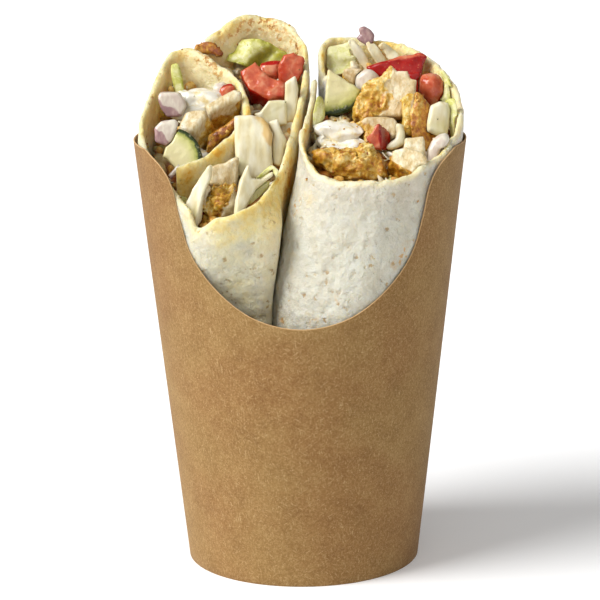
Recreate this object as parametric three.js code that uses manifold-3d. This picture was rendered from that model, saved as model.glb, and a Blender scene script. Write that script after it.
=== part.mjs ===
// A chicken doner kebab wrap, cut in two on the slant, its halves standing side by side in a kraft
// paper cup with a scooped front. Millimetres, +Z up, the scoop faces -Y, the cup stands on z = 0.
import * as THREE from "three";
import { mergeVertices } from "three/addons/utils/BufferGeometryUtils.js";
import Module from "manifold-3d";

const wasm = await Module();
wasm.setup();
const { Manifold } = wasm;

// ---------------------------------------------------------------- driving dimensions

const CUP = { height: 138, baseRadius: 37.5, mouthRadius: 53, board: 0.5 };
const HEM = { height: 6, slot: 1.0, fold: 0.9 }; // the wall's lower edge, turned in round the floor's skirt
const SEAM = { middle: 180, lap: 10, relax: 5 }; // degrees round from the front: the lap seam at the back
// Rim of the scoop: degrees round from the front, then height.
const SCOOP = [
  [0, 85.9], [18, 88.9], [33, 97], [43.5, 107], [47.8, 118], [50.3, 128], [55.5, 133.8], [66, 138],
];
const TORTILLA = 2.0; // thickness of the flatbread
const GAP = 0.3; // clearance between neighbouring pieces
const FOOD_FLOOR = 8; // where the wraps stand on the cup's floor
const TWIST = { angle: -20, from: 134, to: 80 }; // degrees the halves turn about the cup's axis going down
const BULGE = { x: -11, y: -32, reach: 9.5, push: [5.5, -2.5] }; // the left half swells towards the right one

// The slanting cuts: height of the cut face on the cup's axis, and its rise towards the back.
const RIGHT_CUT = { height: 147.5, rise: 0.428 };
const LEFT_CUT = { height: 146, rise: 0.611 };

// Rolled section of each half at its cut face, along the middle of the flatbread.
const RIGHT_ROLL = [
  [5.2, 14.5], [3.6, 3], [1.8, -8], [0.2, -17.5], [0.8, -25], [4, -32.8], [9, -37.5],
  [15.5, -39.8], [24, -40.3], [30.5, -38.5], [37, -34], [42.5, -27.5], [47.3, -18.5],
  [50.2, -9], [50.9, 1], [49.2, 11.5], [45, 21.5], [39, 30.5], [31.3, 35.8], [24, 38.8],
  [16.8, 40.7], [11.5, 40.2], [8, 36.5], [7, 30], [7.9, 22], [9, 16.5],
];
const LEFT_ROLL = [
  [-38.5, -23.2], [-34.4, -21.2], [-29.8, -18.3], [-25.2, -14.3], [-20.7, -9.4], [-17.2, -3],
  [-17, 5], [-19.5, 13.5], [-25, 20], [-32, 24.8], [-37.8, 27], [-41.8, 24.5], [-45.8, 14],
  [-48.4, 5], [-50, -5], [-48.6, -14.5], [-44.5, -24], [-40, -31], [-34.5, -36.3], [-30, -39.8],
  [-25, -41.6], [-19, -41], [-13.5, -37.5], [-9.9, -31.5], [-6.9, -24.5], [-4.3, -16], [-1.8, -6],
  [0.3, 4], [2.1, 16], [2.6, 25], [1, 31.5], [-3, 37], [-7.5, 39.6], [-13, 40.8], [-18, 39.8],
  [-23, 36.5], [-28, 33.8], [-31, 32.4],
];
// Dips in the cut edge near the flatbread's free ends: place, depth and reach.
const DIPS = [
  { x: -33, y: -39, depth: 8, reach: 5 },
  { x: 6, y: 24, depth: 7, reach: 4 },
];
const EDGE_RIPPLE = 0.5; // unevenness of the knife cut
const LUMPS = 1; // unevenness of the packed meat
const LEVELS = 4; // cross sections between the two ends of a half
const FACET = 0.25; // detail finer than this is left out
const CLEARANCE = GAP + 1.6 * FACET; // room cut round a piece, so that its neighbours keep the gap

// ---------------------------------------------------------------- helpers

const degrees = THREE.MathUtils.degToRad;
const lerp = THREE.MathUtils.lerp;

function randomFrom(seed) {
  let state = seed * 2654435761;
  return () => {
    state = (state + 0x6d2b79f5) | 0;
    let t = Math.imul(state ^ (state >>> 15), 1 | state);
    t = (t + Math.imul(t ^ (t >>> 7), 61 | t)) ^ t;
    return ((t ^ (t >>> 14)) >>> 0) / 4294967296;
  };
}

// A smooth uneven field in about -1..1, the sum of a few waves in random directions.
function unevenness(seed, waves = 7, pitch = 3) {
  const random = randomFrom(seed);
  const list = Array.from({ length: waves }, () => ({
    way: new THREE.Vector3(random() - 0.5, random() - 0.5, random() - 0.5)
      .normalize()
      .multiplyScalar(pitch * (0.6 + random())),
    phase: random() * 2 * Math.PI,
  }));
  return (p) => list.reduce((sum, w) => sum + Math.sin(w.way.dot(p) + w.phase), 0) / waves ** 0.5;
}

function solidOf(geometry) {
  geometry.deleteAttribute("normal");
  geometry.deleteAttribute("uv");
  const merged = mergeVertices(geometry, 1e-4);
  const build = (indices) =>
    new Manifold(
      new wasm.Mesh({
        numProp: 3,
        vertProperties: new Float32Array(merged.attributes.position.array),
        triVerts: new Uint32Array(indices),
      }),
    );
  const indices = Array.from(merged.index.array);
  const solid = build(indices);
  return solid.volume() > 0 ? solid : build(indices.reverse());
}

function geometryOf(solid) {
  const mesh = solid.getMesh();
  const geometry = new THREE.BufferGeometry();
  geometry.setAttribute("position", new THREE.BufferAttribute(mesh.vertProperties, 3));
  geometry.setIndex(new THREE.BufferAttribute(mesh.triVerts, 1));
  geometry.computeVertexNormals();
  return geometry;
}

// Rows of points, all of one length, joined by the faces that `faces` lists.
function gridGeometry(rows, faces) {
  const width = rows[0].length;
  const geometry = new THREE.BufferGeometry().setFromPoints(rows.flat());
  geometry.setIndex(faces((row, column) => row * width + column));
  return geometry;
}

function largestPiece(solid) {
  return solid.decompose().reduce((a, b) => (a.volume() > b.volume() ? a : b));
}

// ---------------------------------------------------------------- paper cup

const slope = (CUP.mouthRadius - CUP.baseRadius) / CUP.height;
const wallRadius = (z) => CUP.baseRadius + slope * z;
const innerRadius = (z) => wallRadius(z) - CUP.board;

// Angles and heights of the rim all the way round, closest together along the scoop.
function rimStations() {
  const curve = new THREE.SplineCurve(SCOOP.map((p) => new THREE.Vector2(...p)));
  const scoop = curve.getSpacedPoints(16).map((p) => [p.x, Math.min(p.y, CUP.height)]);
  const flat = (from, to, count) =>
    Array.from({ length: count }, (_, i) => [lerp(from, to, (i + 1) / count), CUP.height]);
  const sideEnd = SEAM.middle - SEAM.lap / 2;
  const step = 0.2;
  const seam = [step, SEAM.lap, SEAM.lap + step, SEAM.lap + SEAM.relax].map((a) => [
    sideEnd + a,
    CUP.height,
  ]);
  const mirrored = flat(66, 360 - sideEnd - SEAM.lap - SEAM.relax, 14).map(([a, z]) => [360 - a, z]);
  return [
    ...scoop,
    ...flat(66, sideEnd, 14),
    ...seam,
    ...mirrored.reverse().slice(1),
    ...scoop.slice(1).map(([a, z]) => [360 - a, z]).reverse(),
  ];
}

// How far the outer board stands off where it laps over the inner one.
function lapOffset(angle, startsAt) {
  const from = SEAM.middle + startsAt;
  const lapEnd = SEAM.middle + SEAM.lap / 2;
  if (angle < from + 0.1 || angle > lapEnd + SEAM.relax) return 0;
  return CUP.board * Math.min(1, (lapEnd + SEAM.relax - angle) / SEAM.relax);
}

function cupWall() {
  const rows = rimStations().map(([angle, rim]) => {
    const outer = lapOffset(angle, -SEAM.lap / 2);
    const inner = lapOffset(angle, SEAM.lap / 2);
    const hemOuter = (z) => innerRadius(z) - HEM.slot;
    const section = [
      [wallRadius(0) + outer, 0],
      [wallRadius(rim) + outer, rim],
      [innerRadius(rim) + inner, rim],
      [innerRadius(HEM.fold), HEM.fold],
      [hemOuter(HEM.fold), HEM.fold],
      [hemOuter(HEM.height), HEM.height],
      [hemOuter(HEM.height) - CUP.board, HEM.height],
      [hemOuter(0) - CUP.board, 0],
    ];
    const turn = degrees(angle);
    return section.map(([r, z]) => new THREE.Vector3(r * Math.sin(turn), -r * Math.cos(turn), z));
  });
  const geometry = gridGeometry(rows, (at) => {
    const faces = [];
    const around = rows[0].length;
    rows.forEach((_, i) => {
      const next = (i + 1) % rows.length;
      for (let j = 0; j < around; j++) {
        const k = (j + 1) % around;
        faces.push(at(i, j), at(next, j), at(next, k), at(i, j), at(next, k), at(i, k));
      }
    });
    return faces;
  });
  return solidOf(geometry);
}

function cupFloor() {
  const underside = HEM.height + 0.4;
  const foot = HEM.fold + GAP;
  const outer = (z) => innerRadius(z) - GAP;
  const inner = (z) => outer(z) - 0.4;
  const profile = [
    [0, underside], [inner(underside), underside], [inner(foot), foot], [outer(foot), foot],
    [outer(underside + CUP.board), underside + CUP.board], [0, underside + CUP.board],
  ];
  const points = profile.map((p) => new THREE.Vector2(...p));
  return solidOf(new THREE.LatheGeometry(points, 36).rotateX(Math.PI / 2));
}

// ---------------------------------------------------------------- the rolled halves

// Every level of a half is its cut section, swollen, narrowed to the cup and turned a little.
function levelAt(z) {
  const settled = THREE.MathUtils.smoothstep(TWIST.from - z, 0, TWIST.from - TWIST.to);
  return {
    settled,
    scale: innerRadius(Math.min(z, CUP.height)) / innerRadius(CUP.height),
    turn: degrees(TWIST.angle) * settled,
  };
}

function swelling(x, y) {
  const near = Math.exp(-((x - BULGE.x) ** 2 + (y - BULGE.y) ** 2) / BULGE.reach ** 2);
  return BULGE.push.map((reach) => reach * near);
}

function onLevel([x, y], z) {
  const { scale, turn, settled } = levelAt(z);
  const [dx, dy] = swelling(x, y);
  return new THREE.Vector2(x + settled * dx, y + settled * dy)
    .rotateAround(new THREE.Vector2(), turn)
    .multiplyScalar(scale)
    .toArray();
}

function fromLevel(place, z) {
  const { scale, turn, settled } = levelAt(z);
  const flat = new THREE.Vector2(...place).rotateAround(new THREE.Vector2(), -turn);
  flat.divideScalar(scale);
  const [dx, dy] = swelling(flat.x, flat.y);
  return [flat.x - settled * dx, flat.y - settled * dy];
}

const cutHeight = (cut, y) => cut.height + cut.rise * y;

function cutEdge(cut, x, y) {
  const ripple = EDGE_RIPPLE * Math.sin(0.9 * x + 0.5 * y) * Math.sin(0.35 * y - 0.6 * x);
  const dip = DIPS.reduce(
    (sum, d) => sum + d.depth * Math.exp(-((x - d.x) ** 2 + (y - d.y) ** 2) / d.reach ** 2),
    0,
  );
  return cutHeight(cut, y) + ripple - dip;
}

// A flat outline carried from the cup's floor up to the cut face. Below the twist it needs one step.
function risingSolid(outline, topAt, bottom) {
  const shape = new THREE.Shape(outline);
  const steps = { depth: 1, steps: LEVELS + 1, bevelEnabled: false };
  const geometry = new THREE.ExtrudeGeometry(shape, steps);
  const straight = 1 / (LEVELS + 1);
  const place = geometry.attributes.position;
  for (let i = 0; i < place.count; i++) {
    const flat = [place.getX(i), place.getY(i)];
    const share = place.getZ(i);
    let [x, y] = flat;
    for (let round = 0; round < 4; round++) [x, y] = onLevel(flat, topAt(x, y));
    const z =
      share < 1.5 * straight
        ? lerp(bottom, TWIST.to, share / straight)
        : lerp(TWIST.to, topAt(x, y), (share - straight) / (1 - straight));
    place.setXYZ(i, ...onLevel(flat, z), z);
  }
  return solidOf(geometry);
}

function levelledCurve({ roll, cut }) {
  return new THREE.CatmullRomCurve3(
    roll.map(([x, y]) => new THREE.Vector3(...fromLevel([x, y], cutHeight(cut, y)), 0)),
    false,
    "centripetal",
  );
}

// Points beside a stretch of a half's roll, `aside` to the left of the way from one share of its
// length to the other, and running on past both ends by `past`.
function besideRoll(half, from, to, aside, past, steps) {
  const curve = levelledCurve(half);
  const forward = Math.sign(to - from);
  return Array.from({ length: steps + 1 }, (_, i) => {
    const share = lerp(from, to, i / steps);
    const middle = curve.getPointAt(share);
    const way = curve.getTangentAt(share).multiplyScalar(forward);
    const onward = i === 0 ? -past : i === steps ? past : 0;
    return new THREE.Vector2(
      middle.x - way.y * aside + way.x * onward,
      middle.y + way.x * aside + way.y * onward,
    );
  });
}

function tortilla(half, grow = 0) {
  const aside = TORTILLA / 2 + grow;
  const outline = [
    ...besideRoll(half, 0, 1, aside, grow, half.steps),
    ...besideRoll(half, 1, 0, aside, grow, half.steps),
  ].map((p) => p.clampLength(0, innerRadius(CUP.height) - 1.5 * GAP));
  return risingSolid(outline, (x, y) => cutEdge(half.cut, x, y) + grow, FOOD_FLOOR - grow);
}

// The packed meat under the pieces that show: what stretches of the roll enclose, lumpy on top.
function filling(half, { spans, seed, sink }) {
  const clear = 4 * GAP;
  const outline = spans.flatMap(([from, to]) =>
    besideRoll(half, from, to, TORTILLA / 2 + clear, clear, 16),
  );
  const body = risingSolid(outline, (x, y) => cutEdge(half.cut, x, y), FOOD_FLOOR);
  const lumps = unevenness(seed, 6, 0.42);
  const cells = 12;
  const across = (i) => lerp(-CUP.mouthRadius, CUP.mouthRadius, i / cells);
  const rows = Array.from({ length: cells + 1 }, (_, i) =>
    Array.from({ length: cells + 1 }, (_, j) => {
      const [x, y] = [across(i), across(j)];
      const dip = sink + LUMPS * (1 - lumps(new THREE.Vector3(x, y, 0)));
      return new THREE.Vector3(x, y, cutHeight(half.cut, y) - dip);
    }),
  );
  return body.intersect(heightSolid(rows));
}

// The space under a sheet of heights.
function heightSolid(rows) {
  const last = rows.length - 1;
  const under = rows.map((row) => row.map((p) => new THREE.Vector3(p.x, p.y, 0)));
  return solidOf(
    gridGeometry([...rows, ...under], (at) => sheetFaces(at, last, rows[0].length - 1, last + 1)),
  );
}

// Faces of a slab whose second skin's rows follow the first's.
function sheetFaces(at, lastRow, lastColumn, second) {
  const faces = [];
  const quad = (a, b, c, d) => faces.push(a, b, c, a, c, d);
  for (let i = 0; i < lastRow; i++) {
    for (let j = 0; j < lastColumn; j++) {
      quad(at(i, j), at(i + 1, j), at(i + 1, j + 1), at(i, j + 1));
      const [a, b] = [at(second + i, j), at(second + i + 1, j)];
      const [c, d] = [at(second + i + 1, j + 1), at(second + i, j + 1)];
      faces.push(a, c, b, a, d, c);
    }
    quad(at(i, 0), at(second + i, 0), at(second + i + 1, 0), at(i + 1, 0));
    const [e, f] = [at(i + 1, lastColumn), at(second + i + 1, lastColumn)];
    quad(e, f, at(second + i, lastColumn), at(i, lastColumn));
  }
  for (let j = 0; j < lastColumn; j++) {
    quad(at(0, j + 1), at(second, j + 1), at(second, j), at(0, j));
    quad(at(lastRow, j), at(second + lastRow, j), at(second + lastRow, j + 1), at(lastRow, j + 1));
  }
  return faces;
}

// ---------------------------------------------------------------- filling pieces

// Each kind of piece lies flat in its own frame (x across, y up, z towards the eater) and is a
// function of `grow`, so a slightly larger copy can clear its neighbours.

// How far an outline lies from its middle in a given direction.
function outlineReach(outline) {
  return (angle) => {
    const [dx, dy] = [Math.cos(angle), Math.sin(angle)];
    const hits = outline.map(([ax, ay], i) => {
      const [bx, by] = outline[(i + 1) % outline.length];
      const [ex, ey] = [bx - ax, by - ay];
      const cross = dx * ey - dy * ex;
      const along = (ax * ey - ay * ex) / cross;
      const share = (ax * dy - ay * dx) / cross;
      return share >= 0 && share <= 1 && along > 0 ? along : 0;
    });
    return Math.max(...hits);
  };
}

// A rounded lump of cut meat, vegetable or sauce, `size` across, or as wide as its outline and
// `size[2]` thick. `box` near 2 is an egg, near 6 a block.
function lump({ size, outline, box = 3, rough = 0.1, seed = 1, bend = 0, detail = 2 }) {
  const [wide, high, thick] = size.map((length) => length / 2);
  const oval = (turn) =>
    (Math.abs(Math.cos(turn) / wide) ** box + Math.abs(Math.sin(turn) / high) ** box) ** (-1 / box);
  const reach = outline ? outlineReach(outline) : oval;
  return (grow, coarse = false) => {
    const bumps = unevenness(seed);
    const geometry = new THREE.IcosahedronGeometry(1, coarse && !outline ? 1 : detail);
    const place = geometry.attributes.position;
    const p = new THREE.Vector3();
    for (let i = 0; i < place.count; i++) {
      p.fromBufferAttribute(place, i).normalize();
      const [flat, tall] = [Math.hypot(p.x, p.y), Math.abs(p.z)];
      const edge = (flat ** box + tall ** box) ** (-1 / box) * (1 + rough * bumps(p));
      const turn = Math.atan2(p.y, p.x);
      const across = reach(turn) * flat * edge;
      p.set(across * Math.cos(turn), across * Math.sin(turn), Math.sign(p.z) * thick * tall * edge);
      p.addScaledVector(p.clone().normalize(), grow);
      p.z -= bend * (p.x / wide) ** 2;
      place.setXYZ(i, p.x, p.y, p.z);
    }
    return solidOf(geometry);
  };
}

// A knife-cut piece: its outline from the front and its thickness, with softened edges. Its back is
// smaller by `taper` and moved by `shift`, so that the sides it leaves bare show. `slant` tips the
// front face: how far it comes forward for each millimetre to the right and upwards.
function block({
  outline, thick, soft = 0.5, shift = [0, 0], taper = 0.1, slant = [0, 0], rough = 0.4, seed = 1,
}) {
  const shape = new THREE.Shape(outline.map((point) => new THREE.Vector2(...point)));
  return (grow) => {
    const bumps = unevenness(seed, 5, 0.5);
    const geometry = new THREE.ExtrudeGeometry(shape, {
      depth: thick - 2 * soft + 2 * grow,
      bevelThickness: soft,
      bevelSize: soft,
      bevelOffset: grow - soft,
      bevelSegments: 1,
    }).translate(0, 0, soft - thick / 2 - grow);
    const place = geometry.attributes.position;
    const p = new THREE.Vector3();
    for (let i = 0; i < place.count; i++) {
      p.fromBufferAttribute(place, i);
      const back = 0.5 - p.z / thick;
      const forward = (1 - back) * (slant[0] * p.x + slant[1] * p.y) + rough * bumps(p);
      const size = 1 - taper * back;
      p.set(p.x * size + shift[0] * back, p.y * size + shift[1] * back, p.z + forward);
      place.setXYZ(i, ...p);
    }
    return solidOf(geometry);
  };
}

// A flat cut slice that is a sector of a disc, with its skin on the arc and softened edges.
function sector({ radius, angle, thick }) {
  const soft = 0.5;
  const start = degrees(-90 - angle / 2);
  const skin = new THREE.EllipseCurve(0, 0, radius, radius, start, start + degrees(angle));
  return (grow) => {
    const shape = new THREE.Shape([new THREE.Vector2(), ...skin.getPoints(10)]);
    const slice = new THREE.ExtrudeGeometry(shape, {
      depth: thick - 2 * soft + 2 * grow,
      bevelThickness: soft,
      bevelSize: soft,
      bevelOffset: grow - soft,
      bevelSegments: 1,
    });
    return solidOf(slice.translate(0, 0, soft - thick / 2 - grow));
  };
}

// A leaf, shred or rib: a thin sheet, wavy across and curled along, with both skins alike.
function sheet({
  size, waves = 1, swing = 1, curl = 0, taper = 0.3, thin = 0.5, seed = 1, grid = [5, 2],
}) {
  return (grow) => {
    const random = randomFrom(seed);
    const phase = random() * 6;
    const [along, across] = grid;
    const length = size[1] + 2 * grow;
    const middle = (u, v) => {
      const narrowing = 1 - taper * (2 * u - 1) ** 2;
      const x = (v - 0.5) * (size[0] * narrowing + 2 * grow);
      const y = (u - 0.5) * length;
      const sway = swing * Math.sin(phase + waves * 2 * Math.PI * u + 2 * v);
      return new THREE.Vector3(x, y, sway + curl * (2 * v - 1) ** 2 * size[0] * 0.25);
    };
    const skins = [1, -1].map((side) =>
      Array.from({ length: along + 1 }, (_, i) =>
        Array.from({ length: across + 1 }, (_, j) => {
          const [u, v, e] = [i / along, j / across, 0.01];
          const du = middle(u + e, v).sub(middle(u - e, v));
          const dv = middle(u, v + e).sub(middle(u, v - e));
          const normal = dv.cross(du).normalize();
          const half = (size[2] / 2) * (1 - thin * (2 * v - 1) ** 2);
          return middle(u, v).addScaledVector(normal, side * (half + grow));
        }),
      ),
    );
    return solidOf(gridGeometry(skins.flat(), (at) => sheetFaces(at, along, across, along + 1)));
  };
}

const FACING = 77; // degrees a piece is tipped up to face the eater

// Where a piece lies: x and y in the cup, how far its middle is below the cut face, then its turns.
function lay(shape, cut, { x, y, sink, lean = FACING, yaw = 0, roll = 0 }) {
  const turned = (solid) => solid.rotate([0, 0, roll]).rotate([0, yaw, 0]).rotate([lean, 0, 0]);
  return (grow, coarse) => turned(shape(grow, coarse)).translate([x, y, cutHeight(cut, y) - sink]);
}

// Colour, roughness of each food.
const FOODS = {
  chicken: ["#dcb27a", 0.55],
  crust: ["#c07a2e", 0.6],
  tomato: ["#c22a1c", 0.3],
  cucumber: ["#cdd39a", 0.4],
  onion: ["#ded0da", 0.35],
  lettuce: ["#b3c46a", 0.5],
  cabbage: ["#e9e0bf", 0.45],
  sauce: ["#f1eedf", 0.3],
};

// Outlines of the cut pieces, seen from the front.
const OUTLINES = {
  onionRim: [
    [-3, -0.4], [-1.5, 0.8], [-2.3, 2.7], [-0.6, 3.3], [1.5, 2], [2.7, 0.4], [2.4, -1.7], [0.6, -3.1],
  ],
  chunk: [
    [-9.8, -3.3], [-8.2, 0.8], [-7.2, 3.4], [-4.8, 5.8], [-1.2, 6.2], [0.8, 8.8], [2.2, 10], [3.7, 8.3],
    [7.3, 8.1], [8.2, 5.8], [10.3, 5.2], [9.6, 1.8], [10, -1.6], [6.1, -6.5], [0.8, -6.4], [-2.9, -6.6],
    [-7.4, -7.8], [-9.5, -6.1],
  ],
  curl: [
    [-2, 4.8], [0, 6.6], [2, 6.5], [2.5, 2.9], [0.8, 0.8], [0.4, -1.6], [1, -4.9], [0.4, -6.8],
    [-1.2, -5.7], [-1.9, -3.7], [-1.7, -0.8],
  ],
  brownSlab: [
    [-3.7, 3], [-2, 6.2], [-2, 9], [-0.4, 8.6], [1.4, 6.1], [2.9, 4.1], [2, -2.9], [4.6, -4.9], [3.7, -7.6],
    [1.2, -9.6], [-2.9, -8], [-3.6, -2.9],
  ],
  grooved: [
    [-3.5, -1.6], [-2.9, 1.6], [-2.3, 4.1], [0.6, 5.5], [3.1, 4.9], [3.5, 2.9], [3.1, -2], [2.5, -5.2],
    [-0.2, -5.3], [-3.6, -4.1],
  ],
  smoothOnion: [
    [-3.2, -0.6], [-1.6, 2.7], [0.8, 4.7], [3.7, 5.1], [3.7, 3.5], [2, -0.6], [-0.8, -4.7], [-2.5, -5.1],
    [-3.3, -2.7],
  ],
  paleOnion: [
    [-3.7, 1], [-0.8, 3.1], [1.2, 3.3], [3.3, 1.8], [4.1, -0.2], [1.4, -2], [-1.2, -4], [-3.9, -2.6],
  ],
  smallMeat: [
    [-3.1, 2.9], [-1.2, 3.5], [1.2, 3.3], [3.7, 2.9], [2, 0.6], [1.6, -2], [2, -4], [0.4, -3.4],
    [-1.4, -1.2], [-2.6, 0.8],
  ],
  dice: [[-3.3, -2.6], [-2.9, 2.7], [2.9, 2.8], [3.2, -1], [3.1, -3.2]],
  endPiece: [
    [-4.7, 3.9], [-0.6, 4.9], [3.9, 3.3], [5.7, 1.6], [5.7, -1.2], [3.9, -2.7], [1.2, -3.5], [-2.7, -1.2],
    [-4.9, 1.2],
  ],
  wedge: [[-4.3, 0.2], [-2.5, 1.7], [0, 4.6], [0.5, 0.6], [0.6, -3.4], [-1.6, -3.6], [-3.7, -1.2]],
  middleMeat: [
    [-7, 2], [-2.5, 3.6], [1.6, 3.9], [5.9, 3.6], [7, 2], [6.8, -1.8], [4.1, -4.1], [-2.5, -4.3], [-6.6, -2],
  ],
  crescent: [
    [1.4, 4.9], [3.3, 4.5], [3.9, 1.6], [3.6, -1.4], [0, -3.1], [-5.5, -4.3], [-5.6, -3.2], [-1.8, -2],
    [1.2, -0.2], [1.9, 2.2],
  ],
  ridge: [
    [-1.2, 1.4], [-0.4, 3.1], [1.6, 3.5], [3.3, 2.3], [3.7, 0.6], [2.5, -1.6], [0.8, -2.9], [-2.5, -3.5],
    [-4.1, -2.7], [-2.9, -1],
  ],
  tomatoSlab: [
    [-10.8, 0.8], [-6.1, 2.3], [0.4, 4], [7.2, 5], [9.2, 4.1], [8, 1.6], [7.4, -1.2], [7.2, -4.9],
    [2.8, -4.4], [-3, -4], [-7.6, -1.6],
  ],
  cheek: [[-3, 4.6], [1, 5.2], [0.9, 1.2], [2.4, -4.4], [-0.4, -3.4], [-2.9, 0]],
  dome: [
    [-3.9, 3.4], [-2.9, 5], [0.2, 5.6], [2.7, 4.5], [3.7, 2.3], [3.5, -1.4], [2.4, -4.1], [-0.6, -5.5],
    [-2.4, -3.2], [-3.8, 0.2],
  ],
  frontMeat: [
    [-13, 4.1], [-6.4, 4.8], [1.9, 4.1], [4.5, 5.7], [7.3, 4.8], [10.8, 1], [13.4, -4.8],
    [6.4, -5.4], [-1.3, -4.8], [-7.6, -1.6],
  ],
  tomatoBlock: [
    [-7.4, 4.6], [-5.7, 5.3], [-2.5, 7.4], [-0.4, 4.5], [2.3, 2.4], [7.2, 0.4], [7.4, -4], [2, -4.9],
    [-4.4, -1.4],
  ],
  tomatoCurl: [
    [-4.3, 2.3], [-2.7, 4.7], [0.6, 5.4], [3.5, 4.3], [4.5, 1.8], [3.9, 0.2], [1.4, -3.9], [-1.8, -5.5],
    [-3.9, -3.9], [-4.5, -0.6],
  ],
  stripUpper: [[-5.5, 0.8], [-0.8, 3.5], [3.7, 5.9], [5.7, 5.1], [5.4, 3.4], [0.6, 0.6], [-4.2, -1.8]],
  stripLower: [[-5.3, 0], [-2.9, 4.9], [0, 5.9], [3.9, 5.8], [3.7, 3.6], [-0.4, -1.3], [-4.9, -0.8]],
  breast: [
    [-4.4, 2.4], [-2, 3.2], [0.4, 3.7], [2.6, 5], [4.5, 5.6], [4.4, -0.2], [3.2, -5.2], [-0.2, -3],
    [-4.4, -2.6],
  ],
  onionUpper: [
    [-4.3, 2], [-3.8, 3.8], [2.2, 3.8], [3.9, 1.6], [4.5, -0.8], [3.1, -3.3], [0.6, -3.7], [-1.4, -3.9],
    [-3.5, -0.8],
  ],
  onionLower: [
    [-3.5, 1.2], [-1.4, 3.3], [2.7, 3.9], [3.8, 3], [3.4, 1.2], [1.4, -2.9], [-0.2, -4.2], [-3.5, -2.9],
  ],
  onionSkin: [[-1.8, -1.4], [1.6, 2.4], [1.2, 0.4], [-1, -2.4]],
  darkMeat: [
    [-4.3, -0.4], [0.6, 2.5], [4.3, 5.3], [4.7, 4.1], [2.3, 0.8], [-1.8, -2.9], [-5, -6], [-4.7, -3.3],
  ],
  lowMeat: [[-1.6, 4.9], [2, 2.9], [2.5, -1.6], [1.6, -3.3], [-2, -3.7], [-1.8, 0]],
  grilledEdge: [
    [-5.6, -1.4], [-3, 0.6], [0.2, 1.8], [3, 1.2], [5.6, -2], [5.2, -2.8], [0, -1.6], [-4, -2.2],
  ],
  cabbageRib: [
    [-6.1, 9.8], [-1.2, 10.2], [2.5, 9.8], [4.6, 7.4], [5.7, 4.1], [5.3, 0.8], [5.7, -6.6], [2.9, -9.6],
    [-1.6, -10.6], [-5.1, -8.4], [-5.5, 0],
  ],
  cabbageLow: [
    [1.8, 8.2], [2.4, 4], [6, 3.6], [9.6, 6], [9.8, 4.8], [4.4, 0.6], [1, -4.4], [-1.2, -7.6],
    [-2.6, -7.4], [-2.1, -2], [-0.7, 3.5],
  ],
  cabbageLeft: [
    [4.5, 9.6], [4.3, 5.3], [2.2, 0.4], [0.6, -7], [-0.8, -9.8], [-5.3, -8.6], [-4.5, -4.5], [-1.6, 2],
    [0.8, 5.5],
  ],
  cabbageWavy: [
    [-2.6, 6.5], [0.2, 7.4], [1.4, 3.3], [2.6, 0.8], [1.6, -4.1], [0.6, -7.4], [-1, -6.5], [-1.9, -2],
    [-1.3, 2.5],
  ],
  cabbageUp: [[-6.1, -0.8], [-4.1, -0.4], [-1.6, 3.3], [4.1, 3.5], [4.2, -4.1], [-0.8, -4.6], [-4.9, -3.9]],
  cabbageRight: [[-1.8, 5.7], [1.2, 7.8], [1.9, 3.5], [1.5, -7], [-2, -7], [-2, 0]],
};

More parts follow.
